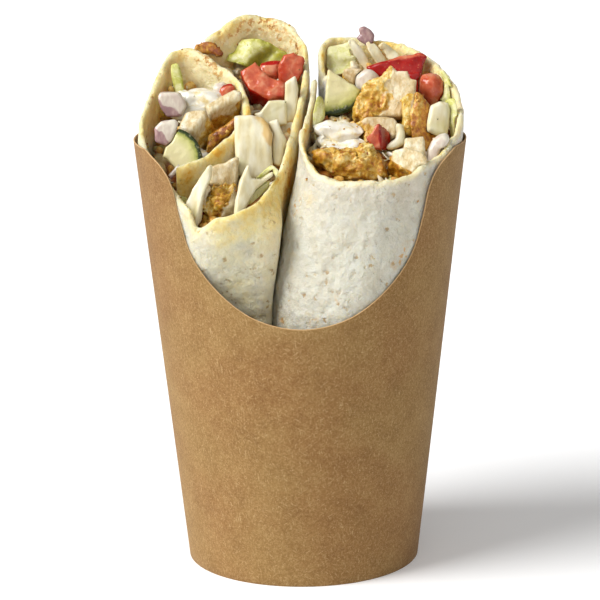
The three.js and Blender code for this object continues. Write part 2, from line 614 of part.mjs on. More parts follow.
const RIGHT_PIECES = [
  ["chicken_end", "chicken",
    block({ outline: OUTLINES.endPiece, thick: 11, shift: [-1.5, -3.5], seed: 20, slant: [0.1, -0.15] }),
    { x: 33.1, y: -27.3, sink: 2.6, lean: 72 }],
  ["chicken_cube", "chicken",
    block({ outline: OUTLINES.dice, thick: 8, shift: [0.4, -1.2], seed: 19, slant: [0, -0.2] }),
    { x: 35.3, y: -19.2, sink: 2.1, lean: 70 }],
  ["onion_white", "onion",
    lump({ size: [7, 10, 5], outline: OUTLINES.smoothOnion, box: 3, seed: 23, rough: 0.03 }),
    { x: 42.5, y: -21.6, sink: 1.4 }],
  ["chicken_ridge", "crust",
    lump({ size: [8, 7, 8], outline: OUTLINES.ridge, seed: 21, rough: 0.12 }),
    { x: 19.2, y: -23, sink: 2 }],
  ["chicken_front", "crust",
    lump({ size: [27, 10, 11], outline: OUTLINES.frontMeat, seed: 22, rough: 0.1 }),
    { x: 15, y: -23, sink: 5 }],
  ["tomato_wedge", "tomato",
    block({ outline: OUTLINES.wedge, thick: 7.5, shift: [3.7, -1], taper: 0.3, soft: 0.3, rough: 0.1 }),
    { x: 24.5, y: -14.4, sink: 2 }],
  ["cabbage_curve", "cabbage",
    block({ outline: OUTLINES.crescent, thick: 4, soft: 0.4, seed: 37, rough: 0.2 }),
    { x: 28.8, y: -13.8, sink: 2.6 }],
  ["sauce", "sauce", lump({ size: [15.5, 15, 9], seed: 34, box: 2.4, detail: 1 }),
    { x: 12.6, y: -7.4, sink: 5.2, lean: 52 }],
  ["chicken_curl", "crust",
    block({ outline: OUTLINES.curl, thick: 6, seed: 16, soft: 0.4 }),
    { x: 34.4, y: -2, sink: 1.8 }],
  ["chicken_chunk", "chicken",
    block({ outline: OUTLINES.chunk, thick: 13, shift: [-1, -1], seed: 12, rough: 0.8, slant: [0.05, -0.1] }),
    { x: 27.2, y: 9.4, sink: 3.6, lean: 70 }],
  ["cabbage_rib", "cabbage",
    block({ outline: OUTLINES.grooved, thick: 5.5, shift: [0.6, 0.6], seed: 17, soft: 0.8 }),
    { x: 43.5, y: -5.2, sink: 1.7, lean: 70 }],
  ["chicken_brown", "crust",
    block({ outline: OUTLINES.brownSlab, thick: 9, seed: 24, rough: 0.6, slant: [-0.2, 0] }),
    { x: 38.4, y: -1.6, sink: 4.2 }],
  ["chicken_mid", "chicken",
    block({ outline: OUTLINES.middleMeat, thick: 9, shift: [0, 1.5], taper: 0.05, seed: 25 }),
    { x: 23.6, y: -6, sink: 5, lean: 68 }],
  ["cucumber", "cucumber", sector({ radius: 15, angle: 62, thick: 3.4 }),
    { x: 9.2, y: 12.8, sink: -4.6, roll: 25 }],
  ["onion_pale", "onion",
    lump({ size: [9, 8, 5], outline: OUTLINES.paleOnion, box: 4, seed: 13, rough: 0.03, bend: 0.7 }),
    { x: 21.9, y: 16.9, sink: 1.2 }],
  ["chicken_small", "chicken",
    block({ outline: OUTLINES.smallMeat, thick: 6, shift: [-0.8, -0.6], seed: 14 }),
    { x: 17.5, y: 19, sink: 2 }],
  ["tomato_slab", "tomato",
    block({ outline: OUTLINES.tomatoSlab, thick: 4.5, shift: [0, 0.8], seed: 26, slant: [0.1, 0] }),
    { x: 32.3, y: 23.4, sink: 1.8 }],
  ["tomato_dome", "tomato",
    lump({ size: [8, 11, 9], outline: OUTLINES.dome, box: 2.4, seed: 15, rough: 0.03 }),
    { x: 42.3, y: 12.6, sink: 2.5 }],
  ["tomato_cheek", "tomato",
    block({ outline: OUTLINES.cheek, thick: 5, seed: 36, rough: 0.2 }),
    { x: 37.8, y: 15.2, sink: 3.1 }],
  ["onion_purple", "onion",
    block({ outline: OUTLINES.onionRim, thick: 3.6, shift: [0.5, 1], seed: 11, rough: 0.2 }),
    { x: 21.8, y: 36.6, sink: -1.6 }],
  ["lettuce_side", "lettuce", sheet({ size: [4.4, 15, 1.1], seed: 27, swing: 0.8 }),
    { x: 47.2, y: 9.6, sink: 1.6, roll: 20, yaw: -30 }],
  ["lettuce_low", "lettuce", sheet({ size: [4.4, 13, 1.1], seed: 28, swing: 0.7 }),
    { x: 48, y: -5, sink: 1.4, roll: 5, yaw: -50 }],
  ["lettuce_inner", "lettuce", sheet({ size: [4, 14, 1.1], seed: 29, swing: 0.5 }),
    { x: 6, y: -3.4, sink: 1.8, roll: -2, yaw: 35 }],
  ["cabbage_back_a", "cabbage", sheet({ size: [3.4, 14, 1.4], seed: 30, swing: 0.8, taper: 0.5 }),
    { x: 20.4, y: 33.4, sink: 3.2, roll: 32 }],
  ["cabbage_back_b", "cabbage", sheet({ size: [3.4, 12, 1.4], seed: 31, swing: 0.6, taper: 0.5 }),
    { x: 25.6, y: 32.8, sink: 2.2, roll: 34 }],
  ["cabbage_back_c", "cabbage", sheet({ size: [3.6, 11, 1.4], seed: 32, swing: 0.6, taper: 0.5 }),
    { x: 30.6, y: 31.6, sink: 1.6, roll: 46 }],
  ["lettuce_back", "lettuce", sheet({ size: [11, 11, 1.1], seed: 33, waves: 1.5, grid: [6, 4] }),
    { x: 14, y: 33.2, sink: 3.4, roll: 10, lean: 65 }],
];

const LEFT_PIECES = [
  ["onion_purple", "onion",
    block({ outline: OUTLINES.onionUpper, thick: 5, shift: [0.4, 1.2], seed: 41, rough: 0.2 }),
    { x: -41, y: 6.2, sink: 2.6 }],
  ["onion_low", "onion",
    block({ outline: OUTLINES.onionLower, thick: 4, shift: [0, 0.6], seed: 42, rough: 0.2 }),
    { x: -42, y: -11.5, sink: -2.4 }],
  ["onion_small", "onion", lump({ size: [4.6, 4.6, 3.6], box: 3, seed: 43, detail: 1 }),
    { x: -25.8, y: 16, sink: 5 }],
  ["chicken_strip_b", "chicken",
    block({ outline: OUTLINES.stripUpper, thick: 8, shift: [0.8, -6], seed: 44, slant: [0, -0.35] }),
    { x: -24.6, y: 7.2, sink: 4.2 }],
  ["chicken_strip_a", "chicken",
    block({ outline: OUTLINES.stripLower, thick: 9, shift: [3.4, -7.2], seed: 45, slant: [0.15, -0.35] }),
    { x: -33.6, y: -1.8, sink: 3.8 }],
  ["cucumber", "cucumber", sector({ radius: 10.4, angle: 200, thick: 4 }),
    { x: -41.2, y: -14.8, sink: 3.8, roll: 138, lean: 66 }],
  ["onion_skin", "onion",
    block({ outline: OUTLINES.onionSkin, thick: 1.6, soft: 0.3, seed: 46, rough: 0.1 }),
    { x: -39.4, y: -19.4, sink: 3.8 }],
  ["tomato_small", "tomato", lump({ size: [6.8, 5.6, 5], box: 4, seed: 47, detail: 1 }),
    { x: -22.8, y: 14.6, sink: 5, roll: 10 }],
  ["chicken_dark", "crust", block({ outline: OUTLINES.darkMeat, thick: 8, seed: 48 }),
    { x: -24.6, y: -1, sink: 6.6 }],
  ["lettuce_edge", "lettuce", sheet({ size: [3.4, 10.5, 1.1], seed: 49, swing: 0.5 }),
    { x: -39.6, y: 17.6, sink: 2.6, roll: 10 }],
  ["sauce", "sauce", lump({ size: [16, 14, 9], seed: 50, box: 2.4, detail: 1 }),
    { x: -33.6, y: 12.6, sink: 7.4, lean: 46 }],
  ["cabbage_low", "cabbage",
    block({ outline: OUTLINES.cabbageLow, thick: 2, soft: 0.4, seed: 52, taper: 0, rough: 0.5 }),
    { x: -17.9, y: -31.4, sink: 0.6, yaw: 20 }],
  ["cabbage_left", "cabbage",
    block({ outline: OUTLINES.cabbageLeft, thick: 2, soft: 0.4, seed: 54, taper: 0, rough: 0.8 }),
    { x: -31.6, y: -31.6, sink: 2, yaw: -20 }],
  ["leaf_low", "lettuce", sheet({ size: [4.6, 14.5, 1.2], seed: 53, swing: 0.8 }),
    { x: -12.6, y: -27.4, sink: 2, roll: -42 }],
  ["cabbage_rib", "cabbage",
    block({ outline: OUTLINES.cabbageRib, thick: 3.4, seed: 51, soft: 0.8, rough: 0.6, taper: 0 }),
    { x: -14.6, y: -12.4, sink: 1.8 }],
  ["cabbage_wavy", "cabbage",
    block({ outline: OUTLINES.cabbageWavy, thick: 2.2, soft: 0.5, seed: 57, taper: 0, rough: 0.6 }),
    { x: -7.2, y: -10.2, sink: 2.2 }],
  ["cabbage_right", "cabbage",
    block({ outline: OUTLINES.cabbageRight, thick: 2.2, soft: 0.4, seed: 55, taper: 0, rough: 0.5 }),
    { x: -2.6, y: 6.6, sink: 1.6 }],
  ["cabbage_up", "cabbage",
    block({ outline: OUTLINES.cabbageUp, thick: 2, soft: 0.4, seed: 56, taper: 0, rough: 0.6 }),
    { x: -8.4, y: 4, sink: 3 }],
  ["tomato_curl", "tomato",
    block({ outline: OUTLINES.tomatoCurl, thick: 6, shift: [-0.6, -1], soft: 0.8, seed: 58 }),
    { x: -2.3, y: 22.6, sink: 3.6 }],
  ["tomato_big", "tomato",
    block({ outline: OUTLINES.tomatoBlock, thick: 9, shift: [0.4, -5.5], seed: 59, slant: [0, -0.3] }),
    { x: -11.8, y: 16.8, sink: 4.2 }],
  ["tomato_back", "tomato", lump({ size: [9, 6, 5], box: 4, seed: 60, detail: 1 }),
    { x: -8.4, y: 27.2, sink: 7, roll: 6 }],
  ["lettuce_back", "lettuce",
    sheet({ size: [11, 20, 1.2], seed: 61, swing: 1.8, waves: 1.6, taper: 0.4, grid: [8, 4] }),
    { x: -14.2, y: 33.2, sink: 6.8, roll: 76, lean: 60 }],
  ["chicken_breast", "chicken",
    block({ outline: OUTLINES.breast, thick: 8, seed: 62, shift: [0, 1], slant: [0, 0.3], rough: 0.6 }),
    { x: -23.8, y: -19, sink: 6.2, lean: 70 }],
  ["chicken_crumb", "crust", lump({ size: [9.5, 9.5, 9], seed: 63, rough: 0.16, detail: 1 }),
    { x: -24, y: -27.2, sink: 7, roll: 10 }],
  ["chicken_low", "chicken", block({ outline: OUTLINES.lowMeat, thick: 6, seed: 64, rough: 0.5 }),
    { x: -29.4, y: -26.6, sink: 6.4 }],
  ["chicken_grilled", "crust",
    block({ outline: OUTLINES.grilledEdge, thick: 4, soft: 0.4, seed: 65 }),
    { x: -30.6, y: 29, sink: 1 }],
];

// ---------------------------------------------------------------- assembly

const group = new THREE.Group();
// The scoop leaves the cup's top further back than its front: the middle of its box is the origin.
group.position.y = -(CUP.mouthRadius + CUP.board - wallRadius(SCOOP[0][1])) / 2;

function addNode(name, solid, [colour, roughness], facet = 0) {
  const material = new THREE.MeshStandardMaterial({ color: colour, roughness, metalness: 0 });
  const mesh = new THREE.Mesh(geometryOf(facet ? solid.simplify(facet) : solid), material);
  mesh.name = name;
  group.add(mesh);
}

const KRAFT = ["#b98a5a", 0.85];
const FLATBREAD = ["#eae3cd", 0.75];
const FILLING = ["#c9924a", 0.65];

addNode("cup_wall", cupWall(), KRAFT);
addNode("cup_floor", cupFloor(), KRAFT);

const HALVES = {
  right: { roll: RIGHT_ROLL, cut: RIGHT_CUT, steps: 46, pieces: RIGHT_PIECES },
  left: { roll: LEFT_ROLL, cut: LEFT_CUT, steps: 70, pieces: LEFT_PIECES },
};
// The stretches of each roll that enclose filling, as shares of its length.
const CHAMBERS = [
  { name: "right_filling", half: "right", spans: [[0, 1]], seed: 71, sink: 8.5 },
  { name: "left_filling_inner", half: "left", spans: [[0, 0.43]], seed: 72, sink: 11.5 },
  { name: "left_filling_outer", half: "left", spans: [[0.44, 1], [0.26, 0]], seed: 73, sink: 11.5 },
];

const shells = [];
const looseShells = []; // wider and plainer, for the meat underneath
for (const [side, half] of Object.entries(HALVES)) {
  addNode(side + "_tortilla", tortilla(half), FLATBREAD, FACET);
  shells.push(tortilla(half, CLEARANCE));
}

const touching = (a, b) =>
  [0, 1, 2].every((i) => a.min[i] < b.max[i] && b.min[i] < a.max[i]);

function clearedOf(solid, others) {
  const box = solid.boundingBox();
  const near = others.filter((other) => touching(box, other.boundingBox()));
  return near.length ? solid.subtract(Manifold.union(near)) : solid;
}

for (const [side, half] of Object.entries(HALVES)) {
  for (const [name, food, shape, place] of half.pieces) {
    const piece = lay(shape, half.cut, place);
    addNode(side + "_" + name, largestPiece(clearedOf(piece(0), shells)), FOODS[food], FACET);
    shells.push(piece(CLEARANCE));
    looseShells.push(piece(4 * GAP, true));
  }
}
for (const chamber of CHAMBERS) {
  const solid = clearedOf(filling(HALVES[chamber.half], chamber), looseShells);
  addNode(chamber.name, largestPiece(solid), FILLING, 3 * FACET);
}

export default group;
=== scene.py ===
"""Looks of a chicken doner kebab wrap, cut in two, standing in a kraft paper scoop cup.

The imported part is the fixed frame. The cup and the flatbreads are made again from the part's own driving
sizes, and every other piece is a finer copy of its node. Small bits are scattered over the cut. Lengths
are in millimetres about the cup's axis until `build` turns them into metres in the part's frame. Colours
are screen values from 0 to 255.
"""

import itertools
import math
import random

import bmesh
import bpy
import numpy as np
from mathutils import Matrix, Vector
from mathutils.bvhtree import BVHTree


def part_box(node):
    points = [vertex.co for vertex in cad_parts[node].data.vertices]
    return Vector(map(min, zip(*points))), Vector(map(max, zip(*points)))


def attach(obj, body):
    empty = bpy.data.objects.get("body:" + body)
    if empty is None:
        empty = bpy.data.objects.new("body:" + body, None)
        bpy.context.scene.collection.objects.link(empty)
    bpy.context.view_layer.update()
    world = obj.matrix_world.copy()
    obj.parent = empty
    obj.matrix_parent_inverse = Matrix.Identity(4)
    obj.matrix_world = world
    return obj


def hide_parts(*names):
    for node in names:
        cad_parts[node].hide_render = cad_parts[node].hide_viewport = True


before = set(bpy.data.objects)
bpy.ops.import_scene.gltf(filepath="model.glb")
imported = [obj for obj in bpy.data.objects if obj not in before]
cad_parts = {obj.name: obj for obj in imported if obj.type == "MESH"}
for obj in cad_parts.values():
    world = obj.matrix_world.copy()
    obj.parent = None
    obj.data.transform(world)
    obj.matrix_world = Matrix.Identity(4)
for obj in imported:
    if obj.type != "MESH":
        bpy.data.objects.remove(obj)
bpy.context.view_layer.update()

MM = 0.001
floor_low, floor_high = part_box("cup_floor")
AXIS = np.array([0.0, (floor_low.y + floor_high.y) / 2 / MM, 0.0])  # the cup's axis in the part's frame
wall_low, wall_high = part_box("cup_wall")

# ------------------------------------------------------------------ driving sizes, as in the part

CUP_HEIGHT = wall_high.z / MM
MOUTH_RADIUS = (wall_high.x - wall_low.x) / 2 / MM
BASE_RADIUS = 37.5
BOARD = 0.5
HEM = {"height": 6.0, "slot": 1.0, "fold": 0.9}
SEAM = {"middle": 180.0, "lap": 10.0, "relax": 5.0}  # degrees; its middle is counted from the front
# Rim of the scoop: degrees round from the front, then height.
SCOOP = [
    (0, 85.9), (18, 88.9), (33, 97), (43.5, 107), (47.8, 118), (50.3, 128), (55.5, 133.8), (66, 138),
]
TORTILLA = 2.0
FOOD_FLOOR = 8.0
TWIST = {"angle": -20.0, "from": 134.0, "to": 80.0}
BULGE = {"place": (-11.0, -32.0), "reach": 9.5, "push": (5.5, -2.5)}
# Dips in the cut: x, y, depth and reach. At the last, the left half's back edge stands a little higher.
DIPS = [(-33, -39, 8, 5), (6, 24, 7, 4), (-19, 39, -2.6, 7)]
HALVES = {
    "right": {
        "height": 147.5,
        "rise": 0.428,
        "roll": [
            (5.2, 14.5), (3.6, 3), (1.8, -8), (0.2, -17.5), (0.8, -25), (4, -32.8), (9, -37.5),
            (15.5, -39.8), (24, -40.3), (30.5, -38.5), (37, -34), (42.5, -27.5), (47.3, -18.5),
            (50.2, -9), (50.9, 1), (49.2, 11.5), (45, 21.5), (39, 30.5), (31.3, 35.8), (24, 38.8),
            (16.8, 40.7), (11.5, 40.2), (8, 36.5), (7, 30), (7.9, 22), (9, 16.5),
        ],
    },
    "left": {
        "height": 146.0,
        "rise": 0.611,
        "roll": [
            (-38.5, -23.2), (-34.4, -21.2), (-29.8, -18.3), (-25.2, -14.3), (-20.7, -9.4), (-17.2, -3),
            (-17, 5), (-19.5, 13.5), (-25, 20), (-32, 24.8), (-37.8, 27), (-41.8, 24.5), (-45.8, 14),
            (-48.4, 5), (-50, -5), (-48.6, -14.5), (-44.5, -24), (-40, -31), (-34.5, -36.3), (-30, -39.8),
            (-25, -41.6), (-19, -41), (-13.5, -37.5), (-9.9, -31.5), (-6.9, -24.5), (-4.3, -16), (-1.8, -6),
            (0.3, 4), (2.1, 16), (2.6, 25), (1, 31.5), (-3, 37), (-7.5, 39.6), (-13, 40.8), (-18, 39.8),
            (-23, 36.5), (-28, 33.8), (-31, 32.4),
        ],
    },
}

# ------------------------------------------------------------------ noise and other small helpers

# How the cells of a lattice are hashed, for smooth noise and for chunks.
LATTICE = {"primes": (374761393, 668265263, 1440662683, 97531), "stirs": [(13, 1274126177)]}
CELLS = {"primes": (73856093, 19349663, 83492791, 2654435), "stirs": [(15, 2246822519), (13, 3266489917)]}
LOW_BITS = 0xFFFFFFFF
TOP = 0xFFFF  # the largest hashed number


def smooth(value, low, high):
    t = np.clip((value - low) / (high - low), 0, 1)
    return t * t * (3 - 2 * t)


def hashed(cell, seed, kind):
    """A whole number from 0 to TOP for each lattice cell."""
    numbers = (cell[:, 0], cell[:, 1], cell[:, 2], seed)
    mixed = sum(n * prime for n, prime in zip(numbers, kind["primes"])) & LOW_BITS
    for shift, factor in kind["stirs"]:
        mixed = ((mixed ^ (mixed >> shift)) * factor) & LOW_BITS
    return (mixed ^ (mixed >> 16)) & TOP


def value_noise(points, seed):
    """Smooth noise from -1 to 1 on a unit lattice."""
    base = np.floor(points).astype(np.int64)
    part = points - base
    part = part * part * (3 - 2 * part)
    total = np.zeros(len(points))
    for corner in itertools.product((0, 1), repeat=3):
        value = hashed(base + corner, seed, LATTICE) / (TOP / 2) - 1
        total += value * np.prod(np.where(np.array(corner) == 1, part, 1 - part), axis=1)
    return total


def octave_of(points, size, seed, octave, drift):
    """Noise whose bumps are halved in size once for each octave."""
    return value_noise(points / size * 2**octave + drift * octave, seed + octave)


def fractal(points, size, seed, octaves=3):
    """Layered noise whose largest bumps are `size` across."""
    return sum(0.5**k * octave_of(points, size, seed, k, 17.3) for k in range(octaves))


def billow(points, size, seed, octaves=3):
    """Rounded crumbs with creases between them, from about -1 to 1."""
    layers = (0.55 - 1.9 * np.abs(octave_of(points, size, seed, k, 7.1)) for k in range(octaves))
    return sum(0.5**k * layer for k, layer in enumerate(layers))


def chunks(points, size, seed):
    """How deep inside its chunk each point lies, and a number from 0 to 1 that names the chunk."""
    scaled = points / size
    base = np.floor(scaled).astype(np.int64)
    nearest = np.full(len(points), 9.0)
    second = nearest.copy()
    name = np.zeros(len(points))
    for corner in itertools.product((-1, 0, 1), repeat=3):
        cell = base + corner
        jitter = np.stack([hashed(cell, seed + k, CELLS) / TOP for k in range(3)], axis=1)
        away = np.linalg.norm(cell + 0.1 + 0.8 * jitter - scaled, axis=1)
        closer = away < nearest
        second = np.where(closer, nearest, np.minimum(second, away))
        name = np.where(closer, hashed(cell, seed + 3, CELLS) / TOP, name)
        nearest = np.where(closer, away, nearest)
    return second - nearest, name


def respaced(line, count):
    """The same line with `count` points, evenly spaced along its length."""
    along = np.concatenate([[0], np.cumsum(np.linalg.norm(np.diff(line, axis=0), axis=1))])
    wanted = np.linspace(0, along[-1], count)
    return np.stack([np.interp(wanted, along, line[:, k]) for k in range(line.shape[1])], axis=1)


def grid_faces(rows, columns, close_rows=False, close_columns=False):
    """Quads of a grid of points, row by row."""
    i, j = np.meshgrid(
        np.arange(rows if close_rows else rows - 1),
        np.arange(columns if close_columns else columns - 1),
        indexing="ij",
    )
    i2, j2 = (i + 1) % rows, (j + 1) % columns
    corners = ((i, j), (i2, j), (i2, j2), (i, j2))
    return np.stack([(a * columns + b).ravel() for a, b in corners], axis=1)


def placed(name, data):
    """A new object in the scene."""
    made = bpy.data.objects.new(name, data)
    bpy.context.scene.collection.objects.link(made)
    return made


def build(name, points, faces, materials, replaced, attributes=None, face_slots=None):
    """A smooth-shaded piece from points in millimetres about the cup's axis."""
    mesh = bpy.data.meshes.new(name)
    places = (np.asarray(points, float) + AXIS) * MM
    mesh.from_pydata(places.tolist(), [], faces if isinstance(faces, list) else faces.tolist())
    for attribute, values in (attributes or {}).items():
        layer = mesh.attributes.new(attribute, "FLOAT", "POINT")
        layer.data.foreach_set("value", np.asarray(values, np.float32))
    for material in materials:
        mesh.materials.append(material)
    if face_slots is not None:
        mesh.polygons.foreach_set("material_index", np.asarray(face_slots, np.int32))
    mesh.shade_smooth()
    mesh.update()
    piece = placed(name, mesh)
    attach(piece, "root")
    if replaced:
        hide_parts(*replaced)
    return piece


# ------------------------------------------------------------------ materials


def linear(red, green, blue):
    """A screen colour as the linear values that shaders take."""
    channels = [c / 255 for c in (red, green, blue)]
    return tuple(c / 12.92 if c <= 0.04045 else ((c + 0.055) / 1.055) ** 2.4 for c in channels) + (1.0,)


def add_node(tree, kind, inputs, output=0, **settings):
    """A new node's output. Each input is another node's output, a number or a screen colour."""
    made = tree.nodes.new(kind)
    for name, value in settings.items():
        setattr(made, name, value)
    for key, source in inputs.items():
        socket = made.inputs[key]
        if isinstance(source, bpy.types.NodeSocket):
            tree.links.new(source, socket)
        else:
            socket.default_value = linear(*source) if socket.type == "RGBA" else source
    return made.outputs[output]


def mapped(tree, value, low, high, to_low, to_high, ease="LINEAR"):
    """A node that takes `low` to `to_low` and `high` to `to_high`, and stays level beyond them."""
    inputs = {"Value": value, "From Min": low, "From Max": high, "To Min": to_low, "To Max": to_high}
    return add_node(tree, "ShaderNodeMapRange", inputs, "Result", interpolation_type=ease)


class Shader:
    """A material with a Principled surface, built node by node in object space."""

    def __init__(self, name, roughness, soft=None, **sockets):
        """`soft` is light let through: its share, its depth in mm, and how far red, green and blue go."""
        self.material = bpy.data.materials.new(name)
        self.material.use_nodes = True
        self.tree = self.material.node_tree
        self.surface = self.tree.nodes["Principled BSDF"]
        self.place = self.tree.nodes.new("ShaderNodeTexCoord").outputs["Object"]
        sockets["Roughness"] = roughness
        if soft:
            share, depth, reach = soft
            sockets.update(Subsurface_Weight=share, Subsurface_Scale=depth * MM, Subsurface_Radius=reach)
        for socket, value in sockets.items():
            self.surface.inputs[socket.replace("_", " ")].default_value = value

    def node(self, kind, inputs, output=0, **settings):
        return add_node(self.tree, kind, inputs, output, **settings)

    def noise(self, size_mm, detail=3.0, roughness=0.55, stretch=(1, 1, 1), distortion=0.0, tilt=0.0):
        """Noise from 0 to 1 with bumps about `size_mm` across; stretched noise may lean by `tilt` degrees."""
        leaning = {"Vector": self.place, "Rotation": (0, math.radians(tilt), 0)}
        scaled = {"Vector": self.node("ShaderNodeMapping", leaning), "Scale": stretch}
        inputs = {
            "Vector": self.node("ShaderNodeMapping", scaled),
            "Scale": 1 / (size_mm * MM),
            "Detail": detail,
            "Roughness": roughness,
            "Distortion": distortion,
        }
        return self.node("ShaderNodeTexNoise", inputs, "Fac")

    def cells(self, size_mm):
        """Distance from the middle of the nearest of many scattered cells."""
        inputs = {"Vector": self.place, "Scale": 1 / (size_mm * MM)}
        return self.node("ShaderNodeTexVoronoi", inputs, "Distance")

    def attribute(self, name):
        return self.node("ShaderNodeAttribute", {}, "Fac", attribute_name=name)

    def between(self, value, low, high, to_low=0.0, to_high=1.0):
        """`to_low` up to `low`, then eased to `to_high` at `high`."""
        return mapped(self.tree, value, low, high, to_low, to_high, "SMOOTHSTEP")

    def plus(self, a, b):
        return self.node("ShaderNodeMath", {0: a, 1: b}, operation="ADD")

    def times(self, a, b):
        return self.node("ShaderNodeMath", {0: a, 1: b}, operation="MULTIPLY")

    def uneven(self, value, noise, amount):
        """A value that noise moves by up to `amount` either way."""
        return self.plus(value, self.between(noise, 0.3, 0.7, -amount, amount))

    def mix(self, share, a, b):
        return self.node("ShaderNodeMix", {0: share, 6: a, 7: b}, 2, data_type="RGBA")

    def over(self, tones, colour, most, value, low, high):
        """A colour laid over others, up to a share of `most` as a value goes from `low` to `high`."""
        return self.mix(self.between(value, low, high, 0, most), tones, colour)

    def ramp(self, value, stops):
        colour = self.node("ShaderNodeValToRGB", {"Fac": value}, "Color")
        elements = colour.node.color_ramp.elements
        while len(elements) < len(stops):
            elements.new(0.5)
        for element, (place, shade) in zip(elements, stops.items()):
            element.position = place
            element.color = linear(*shade)
        return colour

    def thirds(self, value, low, middle, high):
        """Three colours, for low, middling and high noise."""
        return self.ramp(value, {0.3: low, 0.5: middle, 0.7: high})

    def finished(self, tones, *bumps):
        """The material in its colours, with bumps from (height, depth in mm) pairs, one over another."""
        self.tree.links.new(tones, self.surface.inputs["Base Color"])
        normal = {}
        for height, depth in bumps:
            inputs = {"Height": height, "Distance": depth * MM, "Strength": 1.0, **normal}
            normal = {"Normal": self.node("ShaderNodeBump", inputs, "Normal")}
        if normal:
            self.tree.links.new(normal["Normal"], self.surface.inputs["Normal"])
        return self.material


def kraft_board():
    board = Shader("kraft_board", 0.85, Sheen_Weight=0.03, Sheen_Roughness=0.5, Specular_IOR_Level=0.3)
    clouds = board.noise(9, 5, 0.7)
    olive = board.thirds(clouds, (125, 94, 49), (136, 105, 58), (146, 116, 69))
    ruddy = board.thirds(clouds, (119, 80, 39), (129, 90, 47), (140, 103, 58))
    tones = board.mix(board.between(board.noise(34, 2, 0.5), 0.36, 0.66, 0.15, 0.85), olive, ruddy)
    pulp = board.noise(0.7, 4, 0.8)
    tones = board.over(tones, (170, 140, 94), 0.4, pulp, 0.44, 0.66)
    tones = board.over(tones, (104, 74, 36), 0.3, pulp, 0.54, 0.36)
    for tilt in (-55, 10, 60):
        fibres = board.noise(0.32, 2, 0.5, stretch=(1, 1, 0.12), distortion=0.8, tilt=tilt)
        tones = board.over(tones, (190, 162, 116), 0.5, fibres, 0.6, 0.74)
    flecks = board.noise(0.8, 2, 0.5, stretch=(1, 1, 0.6), distortion=1.5)
    tones = board.over(tones, (98, 60, 28), 0.45, flecks, 0.68, 0.76)
    return board.finished(tones, (pulp, 0.05), (fibres, 0.03))


def kraft_edge():
    edge = Shader("kraft_edge", 0.9)
    return edge.finished(edge.mix(edge.noise(1.2), (168, 132, 88), (196, 162, 116)))


def flatbread():
    """Attributes: inside, edge (near the cut), stain (sauce and spice, and on the left flank at the seam also
    painted bounce light), toast (scorched), freckled.
    """
    bread = Shader("flatbread", 0.55, soft=(0.5, 6, (1.0, 0.72, 0.4)))
    clouds, floury = bread.noise(7, 4, 0.62), bread.noise(2.4, 5, 0.7)
    outside = bread.thirds(clouds, (184, 178, 160), (192, 187, 170), (199, 196, 181))
    inside = bread.thirds(clouds, (196, 176, 122), (208, 192, 144), (216, 205, 166))
    tones = bread.mix(bread.attribute("inside"), outside, inside)
    tones = bread.over(tones, (216, 213, 200), 0.3, floury, 0.5, 0.64)
    tones = bread.over(tones, (176, 166, 136), 0.3, floury, 0.45, 0.32)
    tones = bread.over(tones, (204, 184, 140), 0.5, bread.noise(6.0, 4), 0.58, 0.72)
    tones = bread.over(tones, (224, 212, 172), 0.7, bread.attribute("edge"), 0.1, 1.0)

    stain = bread.times(bread.attribute("stain"), bread.between(clouds, 0.25, 0.65, 0.6, 1.3))
    # The light yellow stops of this stain ramp also brighten the shaded left flank at the seam: partly
    # painted light.
    sauced = bread.ramp(
        bread.uneven(stain, bread.noise(3.0, 4, 0.65), 0.2),
        {0.1: (222, 212, 170), 0.5: (222, 202, 140), 0.9: (216, 184, 98), 1.0: (210, 164, 62)},
    )
    tones = bread.over(tones, sauced, 1.0, stain, 0.02, 0.6)

    freckled = bread.attribute("freckled")
    specks = bread.times(bread.between(bread.cells(1.7), 0.24, 0.12), freckled)
    kept = bread.between(bread.noise(5.0, 2), 0.46, 0.6, 0, 0.7)
    tones = bread.mix(bread.times(specks, kept), tones, (150, 120, 70))

    pits = bread.uneven(bread.cells(3.4), bread.noise(1.2, 2), 0.12)
    often = bread.plus(bread.noise(3.4, 1), bread.between(freckled, 0, 1, -0.08, 0.1))
    dots = bread.times(bread.between(pits, 0.26, 0.12), bread.between(often, 0.44, 0.6, 0, 0.8))
    tones = bread.mix(dots, tones, bread.ramp(floury, {0.35: (140, 104, 52), 0.6: (182, 158, 104)}))

    scorched = bread.times(bread.attribute("toast"), bread.between(bread.noise(1.9, 4, 0.65), 0.48, 0.62))
    tones = bread.over(tones, (190, 136, 44), 0.75, scorched, 0.0, 0.5)
    tones = bread.over(tones, (118, 66, 12), 0.85, scorched, 0.45, 1.0)
    waves, grain = bread.noise(4.4, 4, 0.55), bread.noise(1.6, 3, 0.6)
    return bread.finished(tones, (waves, 1.6), (bread.between(pits, 0.08, 0.4), 0.25), (grain, 0.14))


